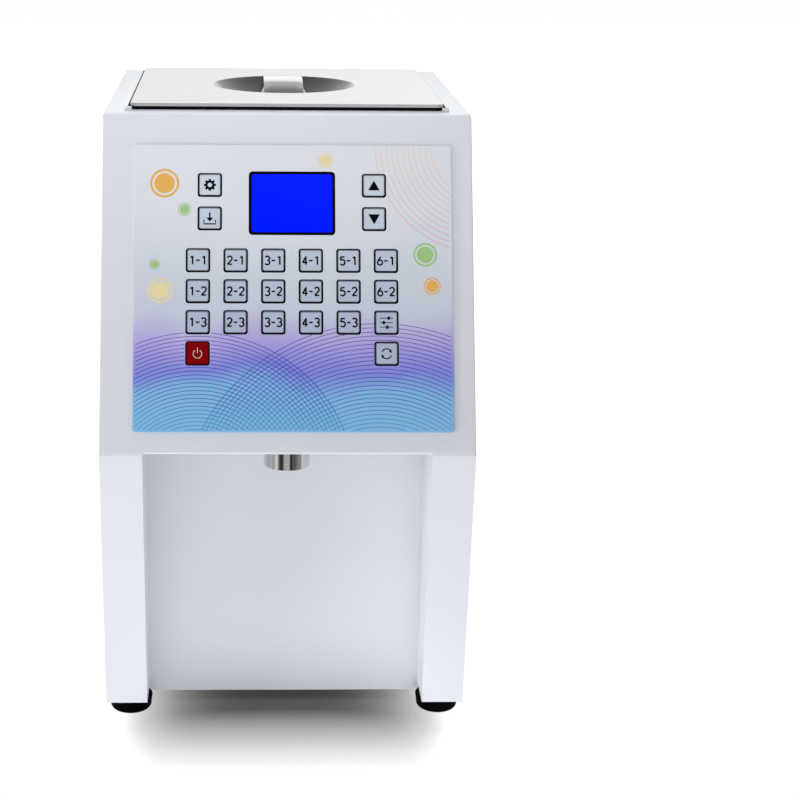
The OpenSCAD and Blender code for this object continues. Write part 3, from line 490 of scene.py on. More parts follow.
# Polyester overlay printed with a pale wash, white above, then lilac to sky blue below; the pale grey
# between is painted shade that darkens the film down the slope
FILM = PrintAndShadeFade(
    "polyester_overlay_print_and_painted_shade", "#EAEDF5", 0.36, ior=1.6, coat=0.15, grain=0.3, relief=0.003, edge=0.9,
    top=400.0, bottom=243.0, drift=0.31,
    stops=(
        # the grey stops down to 0.63 are painted shade; the lilac and blue ones are print
        (0.155, "#EAEDF5"), (0.31, "#E3E8F3"), (0.475, "#D9E0EC"), (0.63, "#D2D8EB"), (0.79, "#BDB2EE"),
        (0.915, "#8C94EC"), (1.0, "#8FC6F2"),
    ),
)
# Line inks that run from violet through indigo to sky blue down the panel
COOL_INK = PrintAndShadeFade(
    "screen_ink_violet_to_blue", "#A060D0", 0.45, grain=0.5, top=330.0, bottom=246.0, drift=0.12,
    stops=((0.35, "#6A45C4"), (0.6, "#3A44C8"), (0.85, "#2C78D0"), (1.0, "#3AA2DB")),
)
# Line inks that run from straw to pink
WARM_INK = PrintAndShadeFade(
    "screen_ink_straw_to_pink", "#F0E3B8", 0.45, grain=0.5, top=448.0, bottom=372.0,
    stops=((0.5, "#F2C49A"), (1.0, "#EE9EB4")),
)
# Satin opal acrylic floor of the studio, glowing, with a painted shadow under the part and a faint mirror of
# the feet
FLOOR = ShadowPaintedFloor("satin_opal_acrylic_floor_painted_shadow", "#262626", 0.22, grain=40.0, mottle=0.004, gloss=0.24)

# The finish of each material slot in the part's record
SLOT_FINISH: dict[str, Finish] = {
    "painted_sheet": PAINT, "zinc_steel": ZINC, "stainless": MILL_STEEL, "polished_stainless": SPOUT_STEEL,
    "black_rubber": RUBBER, "acetal": ACETAL, "motor_case": MOTOR, "panel_film": FILM, "key_film": KEY_FILM,
    "key_red": RED_FILM, "display_blue": LENS, "display_frame": MODULE, "board": BOARD,
    "standoff_brass": BRASS, "black_plastic": ABS, "rocker_red": ROCKER,
}


@dataclass
class Form:
    """Points and faces of one piece, gathered from closed shapes."""

    points: list[Vector] = field(default_factory=list)
    faces: list[tuple[int, ...]] = field(default_factory=list)

    def add(self, points: Sequence[Vector], faces: Sequence[tuple[int, ...]]) -> None:
        """Add one closed shape.

        Args:
            points: Its points.
            faces: Its faces, counted from its own first point.
        """
        start = len(self.points)
        self.points.extend(points)
        self.faces.extend(tuple(start + i for i in face) for face in faces)

    def slab(self, loops: Sequence[Sequence[Point]], low: float, high: float, place: Place) -> None:
        """Add a flat plate with an outline and holes.

        Args:
            loops: The outline, then each hole.
            low: Height of the underside.
            high: Height of the top.
            place: Rule that turns plate coordinates into metres.
        """
        flat = [point for loop in loops for point in loop]
        count = len(flat)
        caps = tessellate_polygon([[Vector((x, y, 0.0)) for x, y in loop] for loop in loops])
        faces = [tuple(reversed(face)) for face in caps]
        faces += [tuple(i + count for i in face) for face in caps]
        start = 0
        for loop in loops:
            size = len(loop)
            for i in range(size):
                a, b = start + i, start + (i + 1) % size
                faces.append((a, b, b + count, a + count))
            start += size
        self.add([place(x, y, height) for height in (low, high) for x, y in flat], faces)

    def sweep(self, rings: Sequence[Sequence[Vector]], closed: bool = False) -> None:
        """Add a shape that joins rings of points one after another.

        Args:
            rings: Rings with equally many points.
            closed: Whether the last ring joins the first; otherwise both ends are capped.
        """
        size, count = len(rings[0]), len(rings)
        faces: list[tuple[int, ...]] = []
        for i in range(count if closed else count - 1):
            a, b = i * size, (i + 1) % count * size
            faces += [(a + j, a + (j + 1) % size, b + (j + 1) % size, b + j) for j in range(size)]
        if not closed:
            faces.append(tuple(reversed(range(size))))
            faces.append(tuple(range((count - 1) * size, count * size)))
        self.add([point for ring in rings for point in ring], faces)

    def ribbon(self, line: Sequence[Point], width: float, low: float, high: float, place: Place) -> None:
        """Add a thin strip along a line on a plate.

        Args:
            line: Points of the middle line.
            width: Width of the strip.
            low: Height of the underside.
            high: Height of the top.
            place: Rule that turns plate coordinates into metres.
        """
        rings = []
        for i, (x, y) in enumerate(line):
            x0, y0 = line[max(i - 1, 0)]
            x1, y1 = line[min(i + 1, len(line) - 1)]
            away = math.hypot(x1 - x0, y1 - y0)
            dx, dy = (y0 - y1) / away * width / 2, (x1 - x0) / away * width / 2
            left, right = (x - dx, y - dy), (x + dx, y + dy)
            corners = ((*left, low), (*right, low), (*right, high), (*left, high))
            rings.append([place(*corner) for corner in corners])
        self.sweep(rings)

    def lathe(self, profile: Sequence[Point], axis: Vector, steps: int) -> None:
        """Add a shape turned round an upright axis.

        Args:
            profile: Closed profile as radius and height, in millimetres.
            axis: Foot of the axis, in metres.
            steps: Flat pieces round the axis.
        """
        rings = []
        for i in range(steps):
            turn = 2 * math.pi * i / steps
            across, along = math.cos(turn), math.sin(turn)
            rings.append([axis + MM * Vector((r * across, r * along, z)) for r, z in profile])
        self.sweep(rings, closed=True)


@dataclass(frozen=True)
class Carrier:
    """What a piece rides on, a slot name from the record, and the nodes that it stands for."""

    body: str
    slot: str
    replaces: tuple[str, ...] = ()


def link_object(name: str, data: bpy.types.ID) -> bpy.types.Object:
    """Put a mesh, light or camera into the scene.

    Args:
        name: Name of the object.
        data: What the object holds.

    Returns:
        The new object.
    """
    thing = bpy.data.objects.new(name, data)
    bpy.context.scene.collection.objects.link(thing)
    return thing


def make_piece(
    name: str, form: Form, finish: Finish, on: Carrier, bevel: float = 0.0, crease: float = CREASE
) -> None:
    """Turn a form into a dressed piece that rides on a body.

    Args:
        name: Name of the piece.
        form: Its points and faces in the part's frame.
        finish: Its finish.
        on: Its body and the nodes that it stands for.
        bevel: Width in millimetres of the rounding on its sharp edges.
        crease: Least angle in degrees of an edge that looks sharp.
    """
    mesh = bpy.data.meshes.new(name)
    mesh.from_pydata(form.points, [], form.faces)
    work = bmesh.new()
    work.from_mesh(mesh)
    bmesh.ops.recalc_face_normals(work, faces=work.faces)
    work.to_mesh(mesh)
    work.free()
    mesh.polygons.foreach_set("use_smooth", [True] * len(mesh.polygons))
    mesh.set_sharp_from_angle(angle=math.radians(crease))
    mesh.materials.append(finish.build())
    piece = link_object(name, mesh)
    if bevel:
        rounding = piece.modifiers.new("edge", "BEVEL")
        rounding.width = bevel * MM
        rounding.segments = BEVEL_STEPS
        rounding.limit_method = "ANGLE"
        rounding.angle_limit = math.radians(CREASE)
        rounding.harden_normals = True
    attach(piece, on.body)
    if on.replaces:
        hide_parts(*on.replaces)
    LOG.info("%s rides on %s", name, on.body)


def arc(x: float, y: float, r: float, start: float, end: float, steps: int) -> list[Point]:
    """Points along an arc.

    Args:
        x: Middle across.
        y: Middle along.
        r: Radius.
        start: First angle in degrees.
        end: Last angle in degrees.
        steps: Flat pieces in the arc.

    Returns:
        The points, one more than the steps.
    """
    turns = [math.radians(start + (end - start) * i / steps) for i in range(steps + 1)]
    return [(x + r * math.cos(t), y + r * math.sin(t)) for t in turns]


def circle(x: float, y: float, r: float, steps: int) -> list[Point]:
    """Points round a circle.

    Args:
        x: Middle across.
        y: Middle along.
        r: Radius.
        steps: Flat pieces round it.

    Returns:
        The points, as many as the steps.
    """
    return arc(x, y, r, 0, 360 - 360 / steps, steps - 1)


def round_rect(w: float, h: float, r: float, x: float = 0.0, y: float = 0.0) -> list[Point]:
    """Outline of a rectangle with round corners.

    Args:
        w: Width.
        h: Height.
        r: Corner radius.
        x: Middle across.
        y: Middle along.

    Returns:
        The outline's points.
    """
    points: list[Point] = []
    for sx, sy, start in ((1, 1, 0), (-1, 1, 90), (-1, -1, 180), (1, -1, 270)):
        points += arc(x + sx * (w / 2 - r), y + sy * (h / 2 - r), r, start, start + 90, CORNER_STEPS)
    return points


@dataclass(frozen=True)
class Softbox:
    """One soft light: its place, the point that it faces, its size and its power. Millimetres and watts."""

    name: str
    at: Point3
    towards: Point3
    size: Point
    power: float

    def hang(self) -> None:
        """Hang the light where neither the camera nor a reflection shows it."""
        data = bpy.data.lights.new(self.name, "AREA")
        data.shape = "RECTANGLE"
        data.size, data.size_y = (MM * length for length in self.size)
        data.energy = self.power
        light = link_object(self.name, data)
        light.location = MM * Vector(self.at)
        light.rotation_euler = (Vector(self.towards) - Vector(self.at)).to_track_quat("-Z", "Y").to_euler()
        light.visible_camera = light.visible_glossy = False


@dataclass
class Studio:
    """Camera at the photograph's angle, pale floor and soft light. Millimetres and degrees."""

    lens: float = 81.73
    camera_at: Point3 = (-34.3, -1469.5, 657.0)
    yaw: float = 1.574
    pitch: float = 15.765
    roll: float = -0.552
    shift: Point = (0.1375, -0.0422)
    floor_size: float = 12000.0
    softboxes: tuple[Softbox, ...] = (
        Softbox("front_softbox", (-1100.0, -2000.0, 350.0), (0.0, -150.0, 200.0), (1200.0, 700.0), 3.6),
        Softbox("left_softbox", (-1400.0, -560.0, 250.0), (0.0, -160.0, 250.0), (500.0, 700.0), 11.0),
        Softbox("right_softbox", (1400.0, -560.0, 250.0), (0.0, -160.0, 250.0), (500.0, 700.0), 3.0),
        Softbox("low_softbox", (0.0, -460.0, 25.0), (0.0, -123.0, 40.0), (500.0, 40.0), 0.16),
        Softbox("foot_softbox", (12.0, -230.0, 8.0), (12.0, -123.0, 12.0), (200.0, 10.0), 0.036),
        Softbox("slope_softbox", (-40.0, -320.0, 840.0), (0.0, -140.0, 350.0), (500.0, 500.0), 1.08),
        Softbox("top_softbox", (0.0, 700.0, 2400.0), (0.0, 0.0, 250.0), (2600.0, 1000.0), 34.0),
    )
    room: Stops = (
        (0.0, "#1C1C1C"), (0.3, "#242424"), (0.42, "#5A5A5A"), (0.5, "#666666"), (0.7, "#868686"),
        (0.8, "#A0A0A0"), (0.91, "#CCCCCC"), (0.96, "#BCBCBC"), (1.0, "#989898"),
    )
    strip_depth: Point = (0.84, 0.97)
    strip_height: Point = (0.5, 0.15)
    strip_side: Point = (-0.12, 0.16)
    strip_sway: Point = (0.85, 1.1)
    strip_glow: float = 0.85
    card_r: float = 230.0
    card_axis: Point = (0.0, -153.0)
    card_z: Point = (110.0, 180.0)
    card_turn: float = 86.0
    card_steps: int = 48
    card_strips: Stops = (
        (-86.0, "#AEAEAE"), (-66.0, "#AEAEAE"), (-51.0, "#F5F5F5"), (-40.0, "#868686"), (-34.0, "#3D3D3D"),
        (-20.0, "#3D3D3D"), (-11.0, "#BDBDBD"), (11.0, "#BDBDBD"), (17.0, "#242424"), (22.0, "#242424"),
        (27.0, "#5C5C5C"), (40.0, "#626262"), (66.0, "#A0A0A0"), (86.0, "#828282"),
    )

    def build(self) -> None:
        """Set the camera, floor, lights and surroundings."""
        self.set_camera()
        self.lay_floor()
        self.stand_card()
        for softbox in self.softboxes:
            softbox.hang()
        self.set_surroundings()

    def set_camera(self) -> None:
        """Make the camera and set it as the scene's."""
        yaw, pitch, roll = (math.radians(angle) for angle in (self.yaw, self.pitch, self.roll))
        ahead = Vector((math.sin(yaw) * math.cos(pitch), math.cos(yaw) * math.cos(pitch), -math.sin(pitch)))
        right = Vector((math.cos(yaw), -math.sin(yaw), 0.0))
        down = ahead.cross(right)
        side = math.cos(roll) * right + math.sin(roll) * down
        up = math.sin(roll) * right - math.cos(roll) * down
        data = bpy.data.cameras.new("photo_camera")
        data.lens = self.lens
        data.shift_x, data.shift_y = self.shift
        camera = link_object("photo_camera", data)
        turn = Matrix((side, up, -ahead)).transposed().to_4x4()
        camera.matrix_world = Matrix.Translation(MM * Vector(self.camera_at)) @ turn
        bpy.context.scene.camera = camera
        bpy.context.scene.view_settings.view_transform = "Standard"

    def lay_floor(self) -> None:
        """Lay the pale glowing floor under the feet, with its painted shadow under the part."""
        half = self.floor_size * MM / 2
        mesh = bpy.data.meshes.new("studio_floor")
        corners = [(-half, -half, 0.0), (half, -half, 0.0), (half, half, 0.0), (-half, half, 0.0)]
        mesh.from_pydata(corners, [], [(0, 1, 2, 3)])
        mesh.materials.append(FLOOR.build())
        floor = link_object("studio_floor", mesh)

    def stand_card(self) -> None:
        """Stand a curved card of dark and bright strips before the spout, for polished steel to mirror."""
        steps, turn = self.card_steps, self.card_turn
        line = arc(*self.card_axis, self.card_r, -90 - turn, -90 + turn, steps)
        points = [MM * Vector((x, y, z)) for z in self.card_z for x, y in line]
        count = steps + 1
        mesh = bpy.data.meshes.new("studio_card")
        mesh.from_pydata(points, [], [(i, i + 1, count + i + 1, count + i) for i in range(steps)])
        mesh.materials.append(self.print_card())
        card = link_object("studio_card", mesh)
        card.visible_camera = card.visible_diffuse = card.visible_shadow = False

    def print_card(self) -> bpy.types.Material:
        """Make the card's glowing paper, whose strips follow the angle round the card's axis.

        Returns:
            The material.
        """
        material = bpy.data.materials.new("striped_paper_card")
        tree = empty_tree(material)
        place = add_node(tree, "TexCoord").outputs["Object"]
        axis = [-MM * value for value in self.card_axis]
        moved = add_node(tree, "Mapping", {"Location": (*axis, 0.0)}, {"Vector": place})
        split = add_node(tree, "SeparateXYZ", links={0: moved})
        ahead = add_node(tree, "Math", {"operation": "MULTIPLY", 1: -1.0}, {0: split.outputs["Y"]})
        sides = {0: split.outputs["X"], 1: ahead}
        angle = add_node(tree, "Math", {"operation": "ARCTAN2"}, sides)
        reach = math.radians(self.card_turn)
        limits = {"From Min": -reach, "From Max": reach}
        share = add_node(tree, "MapRange", limits, {"Value": angle})
        ramp = add_node(tree, "ValToRGB", links={0: share})
        set_stops(ramp, [((at / self.card_turn + 1) / 2, colour) for at, colour in self.card_strips])
        glow = add_node(tree, "Emission", links={"Color": ramp})
        add_node(tree, "OutputMaterial", links={"Surface": glow})
        return material

    def set_surroundings(self) -> None:
        """Surround the part with a dim room that has a bright strip low at each end, on a white backdrop."""
        world = bpy.data.worlds.new("studio_room")
        bpy.context.scene.world = world
        tree = empty_tree(world)
        place = add_node(tree, "TexCoord").outputs["Generated"]
        split = add_node(tree, "SeparateXYZ", links={0: place})
        depth = add_node(tree, "MapRange", {"From Min": -1.0}, {"Value": split.outputs["Y"]})
        ramp = add_node(tree, "ValToRGB", links={0: depth})
        set_stops(ramp, self.room)
        room = add_node(tree, "Background", links={"Color": ramp})
        either = add_node(tree, "Math", {"operation": "ABSOLUTE"}, {0: split.outputs["Y"]})
        shares = []
        for source, smooth, (start, end), (least, most) in (
            (either, "SMOOTHSTEP", self.strip_depth, (0.0, self.strip_glow)),
            (split.outputs["Z"], "SMOOTHSTEP", self.strip_height, (0.0, 1.0)),
            (split.outputs["X"], "LINEAR", self.strip_side, self.strip_sway),
        ):
            limits = {"From Min": start, "From Max": end, "To Min": least, "To Max": most}
            share = add_node(tree, "MapRange", {"interpolation_type": smooth, **limits}, {"Value": source})
            shares.append(share.outputs[0])
        times = {"operation": "MULTIPLY"}
        band = add_node(tree, "Math", times, {0: shares[0], 1: shares[1]})
        strip = add_node(tree, "Math", times, {0: band, 1: shares[2]})
        glow = add_node(tree, "Background", {"Color": WHITE}, {"Strength": strip})
        lit = add_node(tree, "AddShader", links={0: room, 1: glow})
        backdrop = add_node(tree, "Background", {"Color": WHITE})
        ray = add_node(tree, "LightPath")
        either_way = {0: ray.outputs["Is Camera Ray"], 1: lit, 2: backdrop}
        seen = add_node(tree, "MixShader", links=either_way)
        add_node(tree, "OutputWorld", links={"Surface": seen})


def dress_nodes() -> None:
    """Give each solid of the part the finish of its slot in the record."""
    for subpart in frame["record"]["subparts"]:
        node = frame["nodes"][subpart["node"]]
        finish = SLOT_FINISH[subpart["material_slot"]]
        for holder in node.material_slots:
            holder.material = finish.build()
        LOG.info("%s wears %s", subpart["node"], finish.name)


@dataclass
class Lid:
    """Lift-off hopper lid: brushed plate, spun bowl, bent grip, skirt, seal and deck guides. Millimetres."""

    plate_t: float = 2.4
    corner_r: float = 5.0
    bowl_r: float = 58.0
    bowl_h: float = 22.0
    bowl_back: float = 4.0
    bowl_pin: float = 0.4
    bowl_lip: float = 4.0
    bowl_wall: float = 1.92
    bowl_steps: int = 24
    roll_r: float = 1.2
    roll_steps: int = 6
    sheet: float = 1.2
    skirt_h: float = 11.0
    skirt_in: float = 15.2
    skirt_r: Point = (3.0, 2.0)
    seal_in: Point = (2.4, 1.8)
    seal_w: float = 8.0
    seal_lip: float = 1.9
    seal_end: float = 3.0
    seal_r: float = 2.0
    guide_x: Point3 = (-1.2, 2.1, 3.9)
    guide_y: Point = (-0.6, 1.2)
    guide_gap: float = 0.1
    guide_sunk: float = 0.2
    flange_front: float = 2.6
    flange_back: float = 4.0
    flange_t: float = 0.75
    grip_w: float = 20.0
    grip_flank: Point = (6.4, 1.6)
    grip_flare: float = 4.5
    grip_h: float = 6.0
    grip_flat: float = 34.0
    grip_front: float = -16.0
    grip_rear: float = 0.6
    grip_curve: float = 0.00055
    grip_least: float = 0.3
    grip_steps: int = 48
    steps: int = 96

    def __post_init__(self) -> None:
        """Take the lid's place from its solid."""
        low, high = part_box("lid")
        self.w, self.d = (high.x - low.x) / MM, (high.y - low.y) / MM
        self.y, self.top = (low.y + high.y) / 2 / MM, high.z / MM
        self.low = self.top - self.plate_t
        self.bowl_y = self.y + self.bowl_back
        self.deep = self.bowl_h + self.plate_t
        self.ball_r = (self.bowl_r**2 + self.deep**2) / (2 * self.deep)
        self.tilt = math.degrees(math.asin(self.bowl_r / self.ball_r))
        self.hole_r = self.bowl_r + self.roll_r * math.tan(math.radians(self.tilt / 2))

    def place(self, x: float, y: float, z: float) -> Vector:
        """Point of the lid in metres, from its middle and the floor."""
        return MM * Vector((x, self.y + y, z))

    def build(self) -> None:
        """Build the plate with its skirt, the seal and its guides, the bowl and the grip."""
        plate = Form()
        hole = circle(0.0, self.bowl_back, self.hole_r, self.steps)
        plate.slab([round_rect(self.w, self.d, self.corner_r), hole], self.low, self.top, self.place)
        make_piece("lid_plate", plate, LID_STEEL, Carrier("lid_lift", "stainless", ("lid",)), bevel=0.5)
        skirt = Form()
        walls = zip((self.skirt_in, self.skirt_in + self.sheet), self.skirt_r)
        loops = [round_rect(self.w - 2 * inset, self.d - 2 * inset, r) for inset, r in walls]
        skirt.slab(loops, self.low - self.skirt_h, self.low, self.place)
        make_piece("lid_skirt", skirt, MILL_STEEL, Carrier("lid_lift", "stainless"), bevel=0.3)
        self.build_seal()
        self.build_guides()
        bowl = Form()
        bowl.lathe(self.bowl_profile(), MM * Vector((0.0, self.bowl_y, 0.0)), self.steps)
        make_piece("lid_bowl", bowl, BOWL_STEEL, Carrier("lid_lift", "stainless"))
        grip = Form()
        grip.sweep(self.grip_rings())
        carrier = Carrier("lid_lift", "stainless", ("lid_handle",))
        make_piece("lid_grip", grip, GRIP_STEEL, carrier, crease=12.0)

    def build_seal(self) -> None:
        """Build the sponge seal under the plate, with a lip along each side."""
        side, lip = self.w / 2 - self.seal_in[0], self.w / 2 + self.seal_lip
        half = self.d / 2
        right = [
            (side, -half + self.seal_in[1]), (side, -half + self.seal_end), (lip, -half + self.seal_end),
            (lip, half - self.seal_end), (side, half - self.seal_end), (side, half - self.seal_in[0]),
        ]
        shrink = 2 * (self.seal_in[0] + self.seal_w)
        hole = round_rect(self.w - shrink, self.d - shrink, self.seal_r)
        form = Form()
        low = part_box("lid_gasket")[0].z / MM
        form.slab([right + [(-x, y) for x, y in right[::-1]], hole], low, self.low, self.place)
        make_piece("lid_seal", form, SPONGE, Carrier("lid_lift", "black_rubber", ("lid_gasket",)), bevel=0.2)

    def build_guides(self) -> None:
        """Build the painted guides on the deck: an angle along each side and a flange in front."""
        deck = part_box("top_hood")[1].z / MM
        low = deck - self.guide_sunk
        half_w, half_d = self.w / 2, self.d / 2
        inner, gap, outer = (half_w + x for x in self.guide_x)
        front, back = (-half_d + y for y in self.guide_y)
        angle = [(inner, front), (outer, front), (outer, half_d), (gap, half_d), (gap, back), (inner, back)]
        form = Form()
        for side in (-1, 1):
            form.slab([[(side * x, y) for x, y in angle]], low, self.low - self.guide_gap, self.place)
        near, far, end = -half_d - self.flange_front, -half_d + self.flange_back, inner - self.guide_gap
        strip = [(-end, near), (end, near), (end, far), (-end, far)]
        form.slab([strip], low, deck + self.flange_t, self.place)
        make_piece("lid_guides", form, PAINT, Carrier("cabinet", "painted_sheet"), bevel=0.2)

    def bowl_depth(self, r: float) -> float:
        """Depth of the bowl below the top of the plate at a distance from its axis."""
        return math.sqrt(self.ball_r**2 - r**2) - (self.ball_r - self.deep)

    def bowl_profile(self) -> list[Point]:
        """Draw the bowl's wall, from the axis out over the rolled rim and back below.

        Returns:
            Closed profile as radius and height.
        """
        count, pin = self.bowl_steps, self.bowl_pin
        rim = self.hole_r - self.roll_r * math.sin(math.radians(self.tilt))
        radii = [pin + (rim - pin) * i / count for i in range(count)]
        inside = [(r, self.top - self.bowl_depth(r)) for r in radii]
        inside += arc(self.hole_r, self.top - self.roll_r, self.roll_r, 90 + self.tilt, 90, self.roll_steps)
        edge = self.hole_r + self.bowl_lip
        lip = [(self.hole_r, self.low), (edge, self.low), (edge, self.low - self.sheet)]
        outside = [(r, self.top - self.bowl_depth(r) - self.bowl_wall) for r in radii[:-2]]
        return inside + lip + outside[::-1]

    def grip_rings(self) -> list[list[Vector]]:
        """Draw the grip, flush with the plate at the rear and bent down into the bowl at the front.

        Returns:
            Its sections from the rear to the front, in metres.
        """
        rear, count, sheet = self.bowl_r - self.grip_rear, self.grip_steps, self.sheet
        rings = []
        for i in range(count + 1):
            along = rear + (self.grip_front - rear) * i / count
            top = self.top - self.grip_curve / 3 * max(self.grip_flat - along, 0.0)**3
            half = self.grip_w / 2
            wide = half + self.grip_flank[0]
            bent = min(max((self.grip_flat - along) / self.grip_flat, 0.0), 1.0)
            foot = wide + self.grip_flare * bent
            away = math.hypot(along, foot)
            floor = self.top - self.bowl_depth(away) if away < self.bowl_r else self.low
            drop = min(max(top - floor, sheet + self.grip_least), self.grip_h)
            low = min(self.grip_flank[1] * min(2 * bent, 1.0), drop - self.grip_least)
            section = [(foot, -drop), (wide, -low), (half, 0.0)]
            section += [(-x, z) for x, z in section[::-1]]
            under = [(-foot + sheet, -drop), (-wide + sheet, -low - sheet), (-half, -sheet)]
            section += under + [(-x, z) for x, z in under[::-1]]
            rings.append([MM * Vector((x, self.bowl_y + along, top + z)) for x, z in section])
        return rings


@dataclass
class Feet:
    """Four moulded rubber feet with rounded lower edges and a screw recess. Millimetres."""

    low_r: float = 16.2
    top_r: float = 17.0
    height: float = 14.0
    round_r: float = 4.0
    wall_lean: float = 8.0
    round_steps: int = 8
    rim_h: float = 11.2
    rim_cut: Point = (0.6, 0.5)
    neck_r: float = 14.0
    neck_rise: float = 0.4
    recess_r: float = 6.0
    recess_h: float = 6.0
    hole_r: float = 2.2
    steps: int = 64

    def build(self) -> None:
        """Build all four feet as one piece."""
        low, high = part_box("feet")
        x, front, rear = high.x / MM - self.top_r, low.y / MM + self.top_r, high.y / MM - self.top_r
        round_r, (cut, drop) = self.round_r, self.rim_cut
        profile = [(self.hole_r, self.recess_h), (self.recess_r, self.recess_h), (self.recess_r, 0.0)]
        profile += arc(self.low_r - round_r, round_r, round_r, -90, self.wall_lean, self.round_steps)
        profile += [(self.top_r, self.rim_h - drop), (self.top_r - cut, self.rim_h)]
        profile += [(self.neck_r, self.rim_h + self.neck_rise), (self.neck_r, self.height)]
        profile.append((self.hole_r, self.height))
        form = Form()
        for side in (-x, x):
            for y in (front, rear):
                form.lathe(profile, MM * Vector((side, y, 0.0)), self.steps)
        make_piece("rubber_feet", form, RUBBER, Carrier("cabinet", "black_rubber", ("feet",)))


@dataclass
class LegSeams:
    """Painted welds, ground flush, that close the joints between the legs and the hood. Millimetres."""

    leg_w: float = 32.0
    lean: float = 23.0
    rise: float = 2.2
    inset: float = 0.05
    deep: float = 1.8
    drop: float = 0.6

    def build(self) -> None:
        """Build one weld on each leg, from the side panel's outer face to the bay."""
        low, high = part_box("top_hood")
        outer, z = high.x / MM - self.inset, low.z / MM
        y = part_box("left_side_panel")[0].y / MM + self.inset
        run = self.rise * math.tan(math.radians(self.lean))
        section = (
            (y, z - self.drop), (y, z), (y + run, z + self.rise), (y + run + self.deep / 2, z + self.rise),
            (y + self.deep, z + self.rise / 2), (y + self.deep, z - self.drop),
        )
        form = Form()
        for side in (-1, 1):
            ends = (side * (outer - self.leg_w), side * outer)
            form.sweep([[MM * Vector((x, *point)) for point in section] for x in ends])
        make_piece("leg_welds", form, PAINT, Carrier("cabinet", "painted_sheet"))


@dataclass
class Panel:
    """Face of the keypad panel: x across, q down from its top edge, n out of the slope. Millimetres."""

    lean: float = 23.0
    thick: float = 1.6

    def __post_init__(self) -> None:
        """Take the panel's place from its solid."""
        low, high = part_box("keypad_panel")
        turn = math.radians(self.lean)
        self.down = Vector((0.0, -math.sin(turn), -math.cos(turn)))
        self.out = Vector((0.0, -math.cos(turn), math.sin(turn)))
        self.origin = Vector(((low.x + high.x) / 2, high.y, high.z - self.thick * MM * math.sin(turn)))
        self.w = (high.x - low.x) / MM
        self.h = (high.z - low.z - self.thick * MM * math.sin(turn)) / MM / math.cos(turn)

    def place(self, x: float, q: float, n: float) -> Vector:
        """Point of the panel in metres."""
        return self.origin + MM * (x * Vector((1.0, 0.0, 0.0)) + q * self.down + n * self.out)

    def middle(self, node: str) -> Point:
        """Find a node on the panel's face.

        Args:
            node: Name of the node.

        Returns:
            Its middle, across and down.
        """
        low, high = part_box(node)
        away = (low + high) / 2 - self.origin
        return away.x / MM, away.dot(self.down) / MM


@dataclass(frozen=True)
class Fan:
    """Fine rings round one middle: first radius, step, count and line width. Millimetres."""

    x: float
    q: float
    first: float
    step: float
    count: int
    line: float


@dataclass(frozen=True)
class Sign:
    """A sign round its own middle, x across and q down: flat shapes with holes, and lines with widths."""

    shapes: tuple[tuple[Sequence[Point], ...], ...] = ()
    lines: tuple[tuple[Sequence[Point], float], ...] = ()


def draw_signs() -> dict[str, Sign]:
    """Draw the signs of the keys that carry no number. Millimetres.

    Returns:
        Triangles, stand-by ring, toothed wheel, tray, slide controls and chasing arrows, by key.
    """
    up = [(-4.3, 3.6), (4.3, 3.6), (0.0, -4.1)]
    down = [(x, -q) for x, q in up]
    ring, bar = arc(0.0, 0.4, 3.2, -55, 235, 28), [(0.0, -4.4), (0.0, -0.2)]
    wheel: list[Point] = []
    for turn in range(0, 360, 45):
        wheel += arc(0.0, 0.0, 4.6, turn - 10, turn + 10, 2)
        wheel += arc(0.0, 0.0, 3.5, turn + 15, turn + 30, 2)
    head, stem = [(-2.6, -0.6), (2.6, -0.6), (0.0, 2.4)], [(0.0, -4.6), (0.0, -0.6)]
    tray = [(-4.4, 1.2), (-4.4, 4.2), (4.4, 4.2), (4.4, 1.2)]
    sliders = ((-3.4, 1.8), (0.0, -1.9), (3.4, 0.6))
    tips, bows = [], []
    for turn in (0, 180):
        bows.append((arc(0.0, 0.0, 3.7, turn + 20, turn + 140, 18), 0.9))
        front, rear = math.radians(turn + 172), math.radians(turn + 136)
        corners = ((3.7, front), (2.2, rear), (5.2, rear))
        tips.append(([(r * math.cos(angle), r * math.sin(angle)) for r, angle in corners],))
    return {
        "key_up": Sign(((up,),)),
        "key_down": Sign(((down,),)),
        "key_power": Sign(lines=((ring, 0.4), (bar, 0.4))),
        "key_set": Sign(((wheel, circle(0.0, 0.0, 1.7, 24)),)),
        "key_store": Sign(((head,),), ((stem, 1.1), (tray, 1.0))),
        "key_mode": Sign(
            tuple((round_rect(1.8, 2.6, 0.5, knob, row),) for row, knob in sliders),
            tuple(([(-4.8, row), (4.8, row)], 0.6) for row, knob in sliders),
        ),
        "key_repeat": Sign(tuple(tips), tuple(bows)),
    }


